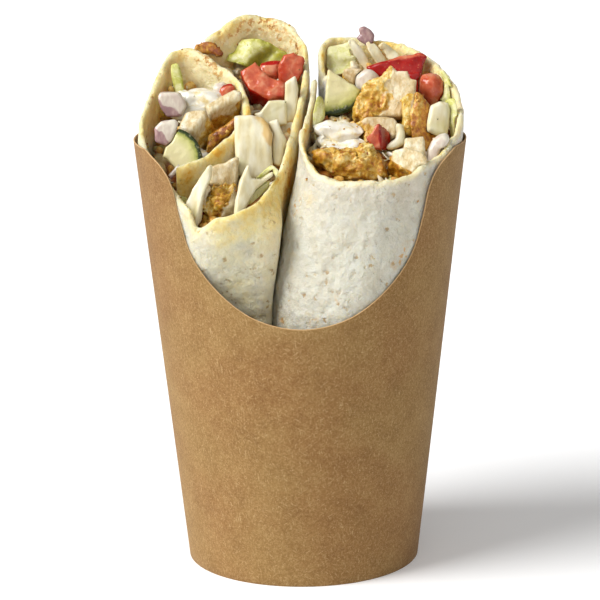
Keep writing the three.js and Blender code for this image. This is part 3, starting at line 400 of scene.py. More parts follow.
def cooked_chicken():
    """Attributes: crust (1 on the spiced outside), gold (a lighter crust), tan (darker meat), char."""
    meat = Shader("cooked_chicken", 0.4, (0.1, 2, (1.0, 0.6, 0.35)), Coat_Weight=0.35, Coat_Roughness=0.18)
    grain = meat.noise(2.6, 4, 0.55, stretch=(1, 1, 0.4), distortion=0.6)
    strands = meat.uneven(grain, meat.noise(0.9, 3, 0.6, stretch=(1, 1, 0.5)), 0.1)
    white = meat.thirds(strands, (192, 164, 108), (214, 198, 156), (228, 220, 194))
    roast = meat.thirds(strands, (168, 122, 60), (190, 154, 94), (212, 188, 140))
    pale = meat.mix(meat.attribute("tan"), white, roast)
    spice = meat.uneven(meat.noise(1.7, 6, 0.75), meat.noise(5.5, 2), 0.09)
    brown = {0.32: (124, 52, 2), 0.44: (165, 94, 6), 0.55: (193, 134, 22), 0.68: (216, 180, 84)}
    light = {0.32: (158, 90, 6), 0.44: (195, 144, 28), 0.54: (211, 174, 68), 0.64: (226, 207, 144)}
    crust = meat.mix(meat.attribute("gold"), meat.ramp(spice, brown), meat.ramp(spice, light))
    ragged = meat.uneven(meat.attribute("crust"), meat.noise(1.5, 4), 0.3)
    tones = meat.over(pale, crust, 1.0, ragged, 0.25, 0.75)
    charred = meat.times(meat.attribute("char"), meat.between(meat.noise(1.8, 4, 0.7), 0.46, 0.6))
    tones = meat.over(tones, (114, 50, 3), 0.85, charred, 0.2, 1.0)
    return meat.finished(tones, (strands, 0.3), (spice, 0.35), (meat.noise(0.8, 3, 0.6), 0.15))


def tomato_flesh():
    """Attribute skin is 1 on the smooth red outside and 0 on the pinker, grainy cut."""
    flesh = Shader("tomato_flesh", 0.16, soft=(0.08, 3, (1.0, 0.3, 0.15)))
    veins = flesh.noise(3.6, 4, 0.5, distortion=0.4)
    cut = flesh.thirds(veins, (172, 58, 32), (190, 92, 60), (208, 142, 106))
    skin = flesh.ramp(veins, {0.3: (136, 8, 2), 0.6: (164, 16, 5), 0.8: (176, 36, 12)})
    border = flesh.uneven(flesh.attribute("skin"), flesh.noise(2.0, 3), 0.15)
    tones = flesh.over(cut, skin, 1.0, border, 0.25, 0.75)
    tones = flesh.over(tones, (218, 140, 92), 0.35, flesh.noise(0.9, 2, 0.5), 0.62, 0.72)
    return flesh.finished(tones, (veins, 0.2), (flesh.noise(0.9, 2), 0.06))


def cucumber_slice():
    """Attribute rind is 0 at the seeds and 1 on the dark skin."""
    disc = Shader("cucumber_slice", 0.25, soft=(0.12, 3, (0.8, 1.0, 0.4)))
    cloudy = disc.noise(2.0, 4, 0.6)
    flesh = {0.1: (208, 196, 146), 0.55: (212, 204, 156), 0.78: (194, 190, 120)}
    skin = {0.87: (142, 146, 64), 0.92: (40, 54, 16)}
    tones = disc.ramp(disc.uneven(disc.attribute("rind"), cloudy, 0.03), {**flesh, **skin})
    tones = disc.over(tones, (222, 214, 172), 0.35, cloudy, 0.55, 0.7)
    return disc.finished(tones, (cloudy, 0.3))


def onion_flesh():
    """Attribute violet is 1 along the purple outer skins."""
    petal = Shader("onion_flesh", 0.25, soft=(0.15, 3, (1.0, 0.8, 0.9)))
    veins = petal.noise(1.5, 3, 0.5, stretch=(1, 1, 0.4))
    pale = petal.ramp(veins, {0.35: (196, 180, 166), 0.65: (216, 208, 190)})
    violet = petal.ramp(veins, {0.35: (130, 92, 98), 0.65: (172, 142, 136)})
    border = petal.uneven(petal.attribute("violet"), veins, 0.25)
    return petal.finished(petal.over(pale, violet, 1.0, border, 0.25, 0.95), (veins, 0.15))


def salad_leaf():
    """Attribute green is 0 on the pale rib and 1 at the edge; dark is 1 on the side where the leaf folds
    over, and there shade is painted in as a dark olive.
    """
    leaf = Shader("salad_leaf", 0.38, soft=(0.1, 2, (0.8, 1.0, 0.3)))
    veins = leaf.noise(2.2, 4, 0.65, distortion=1.2)
    greens = {0.0: (216, 212, 160), 0.35: (200, 198, 118), 0.7: (176, 174, 66), 1.0: (140, 142, 30)}
    tones = leaf.ramp(leaf.uneven(leaf.attribute("green"), veins, 0.3), greens)
    # painted shade: a darker olive copy of the leaf for the side where it folds over
    fold_shade = leaf.ramp(veins, {0.35: (112, 106, 4), 0.65: (146, 138, 16)})
    return leaf.finished(leaf.mix(leaf.attribute("dark"), tones, fold_shade), (veins, 0.35))


def cabbage_strip():
    """Attribute green tints the thin edges, stain the sauced ones."""
    strip = Shader("cabbage_strip", 0.32, soft=(0.12, 3, (1.0, 0.9, 0.6)))
    veins = strip.noise(2.2, 4, 0.5, stretch=(1, 1, 0.3))
    tones = strip.ramp(veins, {0.3: (206, 192, 148), 0.5: (219, 210, 176), 0.72: (226, 221, 200)})
    tones = strip.mix(strip.times(strip.attribute("green"), 0.6), tones, (196, 196, 122))
    tones = strip.mix(strip.times(strip.attribute("stain"), 0.7), tones, (204, 158, 66))
    return strip.finished(tones, (veins, 0.15))


def garlic_sauce():
    sauce = Shader("garlic_sauce", 0.16, soft=(0.15, 3, (1.0, 0.9, 0.7)))
    creams = {0.3: (214, 192, 136), 0.4: (224, 212, 176), 0.5: (230, 226, 212)}
    return sauce.finished(sauce.ramp(sauce.noise(3.4, 4, 0.6), creams), (sauce.noise(2.2, 2), 0.2))


def packed_meat():
    """Attribute kind names each chunk from 0 to 1; gap is 1 in the creases between chunks and 0.3 on steep
    sides, where shade is painted in as dark red-brown.
    """
    meat = Shader("packed_meat", 0.42, soft=(0.06, 2, (1.0, 0.2, 0.1)))
    lumps, kind = meat.noise(1.8, 5, 0.7), meat.attribute("kind")
    tones = meat.thirds(lumps, (116, 44, 3), (160, 88, 14), (198, 146, 52))
    kinds = [
        (0.2, meat.thirds(lumps, (156, 92, 14), (198, 148, 46), (220, 186, 96))),
        (0.52, meat.thirds(lumps, (190, 160, 96), (214, 194, 142), (226, 216, 184))),
        (0.88, meat.ramp(lumps, {0.3: (150, 152, 60), 0.7: (206, 206, 140)})),
        (0.95, meat.ramp(lumps, {0.3: (140, 24, 10), 0.7: (196, 92, 58)})),
    ]
    for start, colour in kinds:
        tones = meat.over(tones, colour, 1.0, kind, start, start + 0.01)
    # painted shade: creases between chunks and steep sides darkened to red-brown
    tones = meat.mix(meat.times(meat.attribute("gap"), 0.8), tones, (132, 50, 3))
    return meat.finished(tones, (lumps, 0.5), (meat.noise(0.9, 3, 0.6), 0.2))


def speck(name, dark, light, roughness=0.5):
    grain = Shader(name, roughness)
    return grain.finished(grain.ramp(grain.noise(1.4, 3), {0.35: dark, 0.65: light}))


# ------------------------------------------------------------------ paper cup


def catmull_rom(points, count):
    """Points along a uniform Catmull-Rom curve, evenly spaced along its length."""
    p = np.array([points[0], *points, points[-1]], float)
    spans = len(points) - 1
    t = np.linspace(0, spans, 40 * spans + 1)
    i = np.minimum(t.astype(int), spans - 1)
    s = (t - i)[:, None]
    a, b, c, d = (p[i + k] for k in range(4))
    v0, v1 = (c - a) / 2, (d - b) / 2
    line = (2 * b - 2 * c + v0 + v1) * s**3 + (-3 * b + 3 * c - 2 * v0 - v1) * s**2 + v0 * s + b
    return respaced(line, count)


def wall_radius(z):
    return BASE_RADIUS + (MOUTH_RADIUS - BASE_RADIUS) / CUP_HEIGHT * z


def inner_radius(z):
    return wall_radius(z) - BOARD


RIM = {"scoop": 70, "right": 60, "left": 56}  # how many stations half the scoop and each side have
SEAM_STATIONS = np.array([0, 0.1, 4.9, 9.9, 10, 10.1, 11.5, 13, 15])  # degrees on from the lap's start
WALL_ROWS = 41


def rim_stations():
    """Angle and height of the rim all the way round, with stations packed at the lap seam's two edges."""
    mirrored = [(-turn, height) for turn, height in SCOOP[:0:-1]]
    scoop = catmull_rom(mirrored + SCOOP, 2 * RIM["scoop"] - 1)[RIM["scoop"] - 1 :]
    scoop[0, 0] = 0
    scoop[:, 1] = np.minimum(scoop[:, 1], CUP_HEIGHT)
    scoop_end, seam_start = SCOOP[-1][0], SEAM["middle"] - SEAM["lap"] / 2
    right = np.linspace(scoop_end, seam_start - 0.1, RIM["right"])[1:]
    seam = seam_start + SEAM_STATIONS
    left = np.linspace(seam[-1], 360 - scoop_end, RIM["left"])[1:]
    level = np.concatenate([right, seam, left])
    flat = np.stack([level, np.full(len(level), CUP_HEIGHT)], axis=1)
    back = scoop[::-1][1:-1] * [-1, 1] + [360, 0]
    return np.concatenate([scoop, flat, back])


def lap_offset(angle, starts_at):
    """How far the lapping board stands out past the board under it."""
    start = SEAM["middle"] + starts_at
    end = SEAM["middle"] + SEAM["lap"] / 2
    out = BOARD * np.clip((end + SEAM["relax"] - angle) / SEAM["relax"], 0, 1)
    return np.where((angle < start + 0.05) | (angle > end + SEAM["relax"]), 0, out)


def hem_radius(z):
    return inner_radius(z) - HEM["slot"]


def cup_wall(board, edge):
    """The wall, ring by ring: up the outside, over the rounded cut rim, and down the inside to the hem."""
    angle, rim = rim_stations().T
    outer, inner = lap_offset(angle, -SEAM["lap"] / 2), lap_offset(angle, SEAM["lap"] / 2)
    half, foot, shares = BOARD / 2, 0.2, np.arange(WALL_ROWS) / (WALL_ROWS - 1)
    rings = [(wall_radius(0) - 0.15 + outer, 0, False)]
    for share in shares:
        height = foot + (rim - half - foot) * share
        rings.append((wall_radius(height) + outer, height, share == 1))
    for turn in np.radians((45, 90, 135)):
        middle = wall_radius(rim) - half + (outer + inner) / 2
        out = (half + (outer - inner) / 2) * math.cos(turn)
        rings.append((middle + out, rim - half + half * math.sin(turn), True))
    for share in shares:
        height = rim - half + (HEM["fold"] - rim + half) * share
        rings.append((inner_radius(height) + inner, height, False))
    for height, inward in ((HEM["fold"], 0), (HEM["height"], 0), (HEM["height"], BOARD), (0, BOARD)):
        rings.append((hem_radius(height) - inward, height, False))

    radius, level = (np.array([ring[k] + 0 * angle for ring in rings]) for k in (0, 1))
    turn = np.radians(angle)[None, :]
    waver = 0.12 * np.sin(3 * turn + 0.5) * smooth(level, 30, 130)
    radius = radius + waver * smooth(level, 8, 60)
    points = np.stack([radius * np.sin(turn), -radius * np.cos(turn), level], axis=2).reshape(-1, 3)
    rows, columns = level.shape
    faces = grid_faces(rows, columns, close_rows=True, close_columns=True)[:, ::-1]
    cut = np.repeat([int(ring[2]) for ring in rings], columns)
    build("paper_cup_wall", points, faces, [board, edge], ["cup_wall"], None, cut)


def cup_floor(board):
    """A disc with a skirt turned down inside the wall, as one turned profile."""
    underside, foot, gap = HEM["height"] + 0.4, HEM["fold"] + 0.3, 0.3
    top = underside + BOARD
    skirt_low, skirt_under, skirt_top = (inner_radius(z) - gap for z in (foot, underside, top))
    profile = [(0.01, underside)]
    profile += [(r, underside) for r in np.linspace(6, skirt_under - 1.0, 6)]
    profile += [(skirt_under - 0.4, underside - 0.5), (skirt_low - 0.4, foot), (skirt_low, foot)]
    profile += [(skirt_top, top - 0.1), (skirt_top - 0.6, top), (20, top), (0.01, top)]
    turns = np.linspace(0, 2 * math.pi, 97)[:-1]
    points = [(r * math.sin(t), -r * math.cos(t), z) for r, z in profile for t in turns]
    faces = grid_faces(len(profile), len(turns), close_columns=True)[:, ::-1]
    caps = [list(range(len(turns)))[::-1], list(range(len(points) - len(turns), len(points)))]
    build("paper_cup_floor", points, faces.tolist() + caps, [board], ["cup_floor"])


# ------------------------------------------------------------------ the rolled flatbread

STATION = 0.8  # spacing of points along the roll
SHEET = 260  # about the length of a rolled sheet
SKIN_GAP = 40  # sets the two skins' blisters apart in the noise


def turned(x, y, angle):
    return x * np.cos(angle) - y * np.sin(angle), x * np.sin(angle) + y * np.cos(angle)


def nearness(x, y, place, reach):
    """1 at a place, fading out beyond its reach."""
    return np.exp(-((x - place[0]) ** 2 + (y - place[1]) ** 2) / reach**2)


def pressed(x, y, spot):
    """How far a spot pushes each place in x and in y."""
    near = nearness(x, y, spot["place"], spot["reach"])
    return spot["push"][0] * near, spot["push"][1] * near


def level_of(z):
    """How far the roll has settled in the cup at a height, and its scale and turn there."""
    settled = smooth(TWIST["from"] - z, 0, TWIST["from"] - TWIST["to"])
    scale = inner_radius(np.minimum(z, CUP_HEIGHT)) / inner_radius(CUP_HEIGHT)
    return settled, scale, np.radians(TWIST["angle"]) * settled


def on_level(x, y, z):
    settled, scale, turn = level_of(z)
    dx, dy = pressed(x, y, BULGE)
    x, y = turned(x + settled * dx, y + settled * dy, turn)
    return x * scale, y * scale


def from_level(x, y, z):
    settled, scale, turn = level_of(z)
    x, y = turned(x / scale, y / scale, -turn)
    dx, dy = pressed(x, y, BULGE)
    return x - settled * dx, y - settled * dy


def cut_height(half, y):
    return half["height"] + half["rise"] * y


def cut_edge(half, x, y):
    """The slanted cut's height with its dips."""
    dips = (depth * nearness(x, y, (a, b), reach) for a, b, depth, reach in DIPS)
    return cut_height(half, y) - sum(dips)


def cut_above(half, flat_x, flat_y):
    """Height of the cut over places that themselves shift with height."""
    x, y = flat_x, flat_y
    for _ in range(4):
        top = cut_edge(half, x, y)
        x, y = on_level(flat_x, flat_y, top)
    return top


def levelled_curve(half, spacing, steps=24):
    """Middle line of the roll seen end on, as a centripetal Catmull-Rom curve."""
    x, y = np.array(half["roll"], float).T
    p = np.stack(from_level(x, y, cut_height(half, y)), axis=1)
    p = np.concatenate([[2 * p[0] - p[1]], p, [2 * p[-1] - p[-2]]])
    knots = np.concatenate([[0], np.cumsum(np.linalg.norm(np.diff(p, axis=0), axis=1) ** 0.5)])
    line = []
    for i in range(1, len(p) - 2):
        t = np.linspace(knots[i], knots[i + 1], steps, endpoint=i == len(p) - 3)[:, None]
        row = p[i - 1 : i + 3]
        for spans in (((-1, 0), (0, 1), (1, 2)), ((-1, 1), (0, 2)), ((0, 1),)):
            ends = [(knots[i + start], knots[i + end]) for start, end in spans]
            pairs = zip(row, row[1:], ends)
            row = [(t1 - t) / (t1 - t0) * a + (t - t0) / (t1 - t0) * b for a, b, (t0, t1) in pairs]
        line.append(row[0])
    line = np.concatenate(line)
    length = np.linalg.norm(np.diff(line, axis=0), axis=1).sum()
    return respaced(line, int(length / spacing))


def skin_profile(rows=110, lip=5):
    """Up one skin, over the rounded cut edge and down the other: side, climb and rise, as columns."""
    up = np.linspace(0, 1, rows) ** 0.7
    profile = [(1.0, u, 0.0) for u in up]
    profile += [(math.cos(a), 1.0, math.sin(a)) for a in np.linspace(0, math.pi, lip + 2)[1:-1]]
    profile += [(-1.0, u, 0.0) for u in up[::-1]]
    return (np.array(column)[:, None] for column in zip(*profile))


def sheet_faces(rows, stations):
    """Quads over both skins, then the two ends of the roll, then its foot."""
    faces = grid_faces(rows, stations).tolist()
    for j in (0, stations - 1):
        for i in range(rows // 2):
            a, b = i * stations + j, (i + 1) * stations + j
            c, d = (rows - 2 - i) * stations + j, (rows - 1 - i) * stations + j
            quad = [a, b, d] if b == c else [a, b, c, d]
            faces.append(quad if j else quad[::-1])
    last = (rows - 1) * stations
    return faces + [[i, i + 1, last + i + 1, last + i] for i in range(stations - 1)]


def relief(share, z, below, offset, seed):
    """Waves of the whole sheet, and blisters of each skin on its own, sharper at the cut."""
    at = np.stack([np.broadcast_to(share * SHEET, z.shape), z, np.zeros_like(z)], axis=2).reshape(-1, 3)
    wave = fractal(at, 26, seed + 1, 2).reshape(z.shape) * 0.7
    wave *= smooth(below, -1, 6) * 0.6 + 0.4
    skin = at + np.outer(np.repeat(offset[:, 0] > 0, len(share)), [0, 0, SKIN_GAP])
    blister = (fractal(skin, 7, seed + 2) * 0.24 + fractal(skin, 2.6, seed + 3) * 0.1).reshape(z.shape)
    blister = blister + (billow(skin, 1.9, seed + 4, 2) * 0.16).reshape(z.shape) * smooth(-below, -2.0, 0.0)
    return wave + blister * np.sign(offset)


def inside_cup(x, y, z):
    """Points drawn in wherever they would pass through the cup's wall."""
    radius = np.hypot(x, y)
    limit = np.where(z < CUP_HEIGHT, inner_radius(np.minimum(z, CUP_HEIGHT)) - 0.15, radius)
    shrink = np.minimum(1, limit / np.maximum(radius, 1e-6))
    return np.stack([x * shrink, y * shrink, z], axis=2).reshape(-1, 3)


def rolled_bread(side, material, seed, lean, toasted, stained, freckled):
    """One half's flatbread: two skins a little apart, with a soft rounded cut edge.

    `lean` presses it against its neighbour below the cut. `toasted` lists scorched places, `stained` gives
    the stain at each point, and `freckled` is how spotted the sheet is.
    """
    half = HALVES[side]
    middle = levelled_curve(half, STATION)
    stations = len(middle)
    way = np.gradient(middle, axis=0)
    way /= np.linalg.norm(way, axis=1)[:, None]
    aside = np.stack([-way[:, 1], way[:, 0]], axis=1)
    share = np.linspace(0, 1, stations)
    along = np.stack([share * SHEET, np.zeros(stations), np.zeros(stations)], axis=1)
    ends = np.minimum(np.arange(stations), np.arange(stations)[::-1]) * STATION
    thin = np.sqrt(np.clip(1 - (1 - np.clip(ends / 1.2, 0, 1)) ** 2, 0.02, 1))
    thick = (TORTILLA / 2) * thin * (1 + 0.22 * fractal(along, 16, seed))

    offset, climb, rise = skin_profile()
    flat_x = middle[None, :, 0] + offset * thick * aside[None, :, 0]
    flat_y = middle[None, :, 1] + offset * thick * aside[None, :, 1]
    ragged = 0.7 * fractal(along, 9, seed + 5)[None, :] + 0.3 * fractal(along, 2.5, seed + 6)[None, :]
    top = cut_above(half, flat_x, flat_y) + ragged
    z = FOOD_FLOOR + (top - thick - FOOD_FLOOR) * climb + rise * thick
    x, y = on_level(flat_x, flat_y, z)
    below = top - z
    dx, dy = pressed(flat_x, flat_y, lean)
    held = smooth(below, lean["from"], lean["to"])
    nx, ny = turned(aside[None, :, 0], aside[None, :, 1], level_of(z)[2])
    push = relief(share, z, below, offset, seed)
    points = inside_cup(x + dx * held + nx * push, y + dy * held + ny * push, z)

    below = below.ravel()
    flat_share = np.broadcast_to(share, z.shape).ravel()
    marks = sum(
        np.exp(-(((flat_share - u) * SHEET / wide) ** 2 + ((below - down) / tall) ** 2)) * strong
        for u, down, wide, tall, strong in toasted
    )
    inner = smooth(np.repeat(offset[:, 0], stations), -0.6, 0.6)
    attributes = {
        "inside": inner * smooth(flat_share, 0.02, 0.14) if side == "right" else inner,
        "edge": smooth(-below, -2.4, 0.2),
        "stain": np.clip(stained(points, below, flat_share, inner), 0, 1.5),
        "toast": np.clip(marks, 0, 1),
        "freckled": freckled * smooth(below, 6, 30),
    }
    faces, replaced = sheet_faces(len(offset), stations), [side + "_tortilla"]
    return build(side + "_flatbread", points, faces, [material], replaced, attributes)


# ------------------------------------------------------------------ pieces made from the frame's nodes

PIECES = {}  # each dressed piece by its node, for what is scattered on them
CRUSTY = {
    "right_chicken_curl", "right_chicken_ridge", "right_chicken_front", "right_chicken_brown",
    "left_chicken_dark", "left_chicken_crumb", "left_chicken_grilled",
}


def node_mesh(node):
    """A node's points in millimetres about the cup's axis, as a bmesh."""
    made = bmesh.new()
    made.from_mesh(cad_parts[node].data)
    bmesh.ops.remove_doubles(made, verts=made.verts, dist=1e-6)
    bmesh.ops.scale(made, vec=(1 / MM,) * 3, verts=made.verts)
    bmesh.ops.translate(made, vec=-Vector(AXIS), verts=made.verts)
    return made


def sliced(made, place, normal, **away):
    """A bmesh cut by a plane and closed again; `away` says which side is cleared."""
    everything = made.verts[:] + made.edges[:] + made.faces[:]
    bmesh.ops.bisect_plane(made, geom=everything, plane_co=place, plane_no=normal, **away)
    bmesh.ops.holes_fill(made, edges=[e for e in made.edges if e.is_boundary], sides=0)
    return made


def taken_apart(made):
    """The points and faces of a bmesh, which is freed."""
    made.verts.index_update()
    points = [v.co.copy() for v in made.verts]
    faces = [[v.index for v in f.verts] for f in made.faces]
    made.free()
    return points, faces


def with_modifiers(made, *modifiers):
    """The points, normals and faces of a bmesh after modifiers given as (type, settings)."""
    mesh = bpy.data.meshes.new("work")
    made.to_mesh(mesh)
    made.free()
    work = placed("work", mesh)
    for number, (kind, settings) in enumerate(modifiers):
        modifier = work.modifiers.new(str(number), kind)
        for name, value in settings.items():
            setattr(modifier, name, value)
    result = work.evaluated_get(bpy.context.evaluated_depsgraph_get()).to_mesh()
    read = []
    for what in ("co", "normal"):
        read.append(np.empty(len(result.vertices) * 3))
        result.vertices.foreach_get(what, read[-1])
    faces = [list(p.vertices) for p in result.polygons]
    bpy.data.objects.remove(work)
    bpy.data.meshes.remove(mesh)
    return read[0].reshape(-1, 3), read[1].reshape(-1, 3), faces


def rounded(made, voxel, passes):
    remesh = ("REMESH", {"mode": "VOXEL", "voxel_size": voxel, "use_smooth_shade": True})
    return with_modifiers(made, remesh, ("SMOOTH", {"factor": 0.6, "iterations": passes}))


def finish_piece(node, points, faces, material, attributes):
    PIECES[node] = build(node + "_dressed", points, faces, [material], [node], attributes)


def across(points):
    """Points as shares of the piece's own box, from -1 to 1: rightward, backward and upward."""
    low, high = points.min(axis=0), points.max(axis=0)
    return (2 * points - low - high) / (high - low)


def toward(vectors, direction):
    """The cosine between each vector and a direction."""
    way = np.array(direction, float)
    size = np.linalg.norm(vectors, axis=1).clip(1e-9)
    return vectors @ way / np.linalg.norm(way) / size


def side_of(points, way):
    """How far towards `way` each point lies, in shares of the piece's own box."""
    return toward(across(points), way) * np.linalg.norm(across(points), axis=1)


def spread_toward(points, normals, way, start, patchy, seed):
    """From 0 to 1 on the side of a piece that lies towards `way`, beyond `start`, with a patchy border."""
    value = 0.8 * side_of(points, way) + 0.35 * toward(normals, way) + patchy * fractal(points, 4.5, seed)
    return smooth(value, start - 0.15, start + 0.15)


def dress_chicken(node, material, seed, way, start, gold, tan, char, rough):
    """A torn or cut lump: pale fibrous meat, and a crumbly spiced crust on the side towards `way`."""
    points, normals, faces = rounded(node_mesh(node), 0.4, 2)
    crust = spread_toward(points, normals, way, start, 0.3, seed + 3)
    crumbly = billow(points, 3.2, seed, 3) * rough
    fibres = fractal(points * [1, 1, 0.35], 1.6, seed + 9, 2) * 0.12 + fractal(points, 5, seed + 5, 2) * 0.3
    push = 0.25 + crumbly * crust + fibres * (1 - 0.6 * crust)
    points = points + normals * push[:, None]
    attributes = {
        "crust": crust,
        "gold": np.full(len(points), gold),
        "tan": np.clip(tan + 0.3 * fractal(points, 6, seed + 6), 0, 1),
        "char": char * smooth(fractal(points, 4, seed + 4), -0.3, 0.4),
    }
    finish_piece(node, points, faces, material, attributes)


def dress_tomato(node, material, seed, skin, start):
    points, normals, faces = rounded(node_mesh(node), 0.4, 3)
    red = spread_toward(points, normals, skin, start, 0.15, seed)
    bumps = fractal(points, 3, seed + 1, 3) * 0.3 * (1 - 0.8 * red)
    points = points + normals * (0.25 + bumps)[:, None]
    finish_piece(node, points, faces, material, {"skin": red})


def dress_onion(node, material, seed, violet, start):
    points, normals, faces = rounded(node_mesh(node), 0.4, 3)
    purple = spread_toward(points, normals, violet, start, 0.25, seed)
    points = points + normals * (0.25 + fractal(points, 3.5, seed + 1, 2) * 0.2)[:, None]
    finish_piece(node, points, faces, material, {"violet": purple})


def dress_cucumber(node, material, seed, apex, radius, trim=None):
    """A slice of a disc: the rind lies a radius away from its apex. `trim` is a place and a way out of it."""
    made = sliced(node_mesh(node), *trim, clear_outer=True) if trim else node_mesh(node)
    points, normals, faces = rounded(made, 0.35, 2)
    away = np.linalg.norm(points - np.array(apex), axis=1) / radius
    points = points + normals * (0.2 + fractal(points, 2.5, seed, 2) * 0.15)[:, None]
    finish_piece(node, points, faces, material, {"rind": np.clip(away, 0, 1.05)})


def dress_sauce(node, material, seed, crease, swell, spill, sink):
    """A low dollop in two lobes with a ragged rim.

    `crease` points across the fold between the lobes. The rest is in mm: how far it swells all round,
    how far its sides spill, and how far its top sinks.
    """
    points, normals, faces = rounded(node_mesh(node), 0.45, 6)
    fold = side_of(points, crease) + 0.3 * fractal(points, 6, seed + 2, 2)
    lobes = fractal(points, 6, seed, 2) * 1.8 - 2.6 * np.exp(-((fold / 0.22) ** 2))
    out = smooth(np.abs(normals[:, 2]), 0.7, 0.2)
    points = points + normals * (swell + lobes + out * spill)[:, None]
    points[:, 2] -= sink * smooth(across(points)[:, 2], 0.2, 1.0)
    finish_piece(node, points, faces, material, {})


def dress_stalk(node, material, seed, way, start):
    """A thick strip of cabbage, grooved along its length and stained towards `way`."""
    points, normals, faces = rounded(node_mesh(node), 0.4, 3)
    axes = np.linalg.eigh(np.cov((points - points.mean(axis=0)).T))[1]
    local = (points @ axes) * [1, 1, 0.12]
    grooves = billow(local, 3.4, seed, 2) * 0.14 + fractal(points, 6, seed + 1, 2) * 0.35
    points = points + normals * (0.2 + grooves)[:, None]
    stain = spread_toward(points, normals, way, start, 0.4, seed + 3)
    green = 0.4 * smooth(fractal(points, 7, seed + 2), 0.1, 0.7)
    finish_piece(node, points, faces, material, {"green": green, "stain": stain})


def dress_leaf(node, material, seed, ruffle, green, fold=None):
    """A thin leaf or strip: the node's sheet, subdivided and ruffled towards its edges.

    `fold` is the way towards the side where it folds over, which is painted darker as shade, and where that
    side starts.
    """
    made = node_mesh(node)
    bmesh.ops.join_triangles(
        made, faces=made.faces, angle_face_threshold=0.9, angle_shape_threshold=1.2, cmp_seam=False
    )
    points, normals, faces = with_modifiers(made, ("SUBSURF", {"levels": 3, "render_levels": 3}))
    centre = points.mean(axis=0)
    axes = np.linalg.eigh(np.cov((points - centre).T))[1]
    local = (points - centre) @ axes[:, ::-1]
    reach = np.abs(local).max(axis=0)
    along, out = np.abs(local[:, 0]) / reach[0], np.abs(local[:, 1]) / reach[1]
    rim = np.maximum(smooth(out, 0.4, 1.0), smooth(along, 0.6, 1.0))
    wave = fractal(points, 4.5, seed, 2) * (0.35 + rim) + fractal(points, 11, seed + 1, 1)
    creases = billow(local * [0.3, 1, 0.3], 3.0, seed + 4, 2) * 0.2
    points = points + axes[:, 0][None, :] * (wave * ruffle + creases)[:, None] + normals * 0.12
    # painted shade: 1 on the side where the leaf folds over
    fold_shade = spread_toward(points, normals, *fold, 0.2, seed + 7) if fold else np.zeros(len(points))
    attributes = {
        "green": np.clip(green * (0.35 + 0.75 * rim) + 0.25 * fractal(points, 5, seed + 2), 0, 1),
        "dark": fold_shade,
        "stain": 0.4 * smooth(fractal(points, 5, seed + 8), 0.0, 0.6),
    }
    finish_piece(node, points, faces, material, attributes)


def dress_filling(node, material, seed, lift):
    """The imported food: the node's own body below, and above it a jumble of chunks nearer the cut."""
    front, depth = -42, 22  # the seam lies this far under the cut's front edge
    seam = (0, 0, cut_height(HALVES[node.split("_")[0]], front) - depth)
    lower = sliced(node_mesh(node), seam, (0, 0, 1), clear_outer=True)
    bmesh.ops.triangulate(lower, faces=lower.faces)
    low_points, low_faces = taken_apart(lower)
    upper = sliced(node_mesh(node), seam, (0, 0, 1), clear_inner=True)
    points, normals, faces = with_modifiers(
        upper, ("REMESH", {"mode": "VOXEL", "voxel_size": 0.6}), ("SMOOTH", {"factor": 0.5, "iterations": 3})
    )
    upward = smooth(normals[:, 2], 0.1, 0.6)
    inside, name = chunks(points + 1.2 * fractal(points, 4, seed + 9, 2)[:, None], 5.2, seed)
    body = smooth(inside, 0.0, 0.4)
    tall = lift * (0.15 + 0.85 * ((name * 7.3) % 1.0)) * body + billow(points, 2.4, seed + 5, 2) * 0.45
    sides = (billow(points, 2.4, seed + 6, 2) * 0.5 - 1.5) * (1 - upward)
    points = points + normals * (upward * tall + sides)[:, None]
    # painted shade: gap is 1 in the creases between chunks and 0.3 on the steep sides
    gap = (1 - smooth(inside, 0.02, 0.3)) * upward + (1 - upward) * 0.3
    still = np.zeros(len(low_points))
    attributes = {"kind": np.concatenate([still, name]), "gap": np.concatenate([still, gap])}
    points = np.concatenate([np.array(low_points), points])
    faces = low_faces + [[v + len(low_points) for v in f] for f in faces]
    finish_piece(node, points, faces, material, attributes)


# ------------------------------------------------------------------ crumbs, herbs and drips

FALL = Vector((0, 0.38, -0.92)).normalized()  # the way that bits drop onto the slanted cut
DROP = {"x": (-50, 51), "y": (-41, 41), "height": 150, "slope": 0.5, "above": 40}  # where they start
TRIES = 60  # for each bit that is wanted


def any_way(dice):
    return Vector([dice.gauss(0, 1) for _ in range(3)]).normalized()


def crumb_shape(dice, size):
    """A small irregular bit: a squashed ball with a few sides cut flat."""
    made = bmesh.new()
    bmesh.ops.create_icosphere(made, subdivisions=2, radius=size / 2)
    stretch = Vector((dice.uniform(0.6, 1.3), dice.uniform(0.6, 1.3), dice.uniform(0.5, 0.9)))
    sides = [(any_way(dice), dice.uniform(0.15, 0.35) * size) for _ in range(7)]
    for v in made.verts:
        for way, depth in sides:
            v.co -= way * max(0, v.co.dot(way) - depth)
        v.co = Vector(a * b for a, b in zip(v.co, stretch))
    return taken_apart(made)


def smear_shape(dice, size):
    """A flat blob of sauce with a lobed outline."""
    made = bmesh.new()
    bmesh.ops.create_icosphere(made, subdivisions=3, radius=size / 2)
    lobes = [(any_way(dice), dice.uniform(-0.3, 0.45)) for _ in range(6)]
    for v in made.verts:
        way = v.co.normalized()
        v.co *= 1 + sum(height * max(0, way.dot(lobe)) ** 2 for lobe, height in lobes)
        v.co.z *= 0.3
    return taken_apart(made)


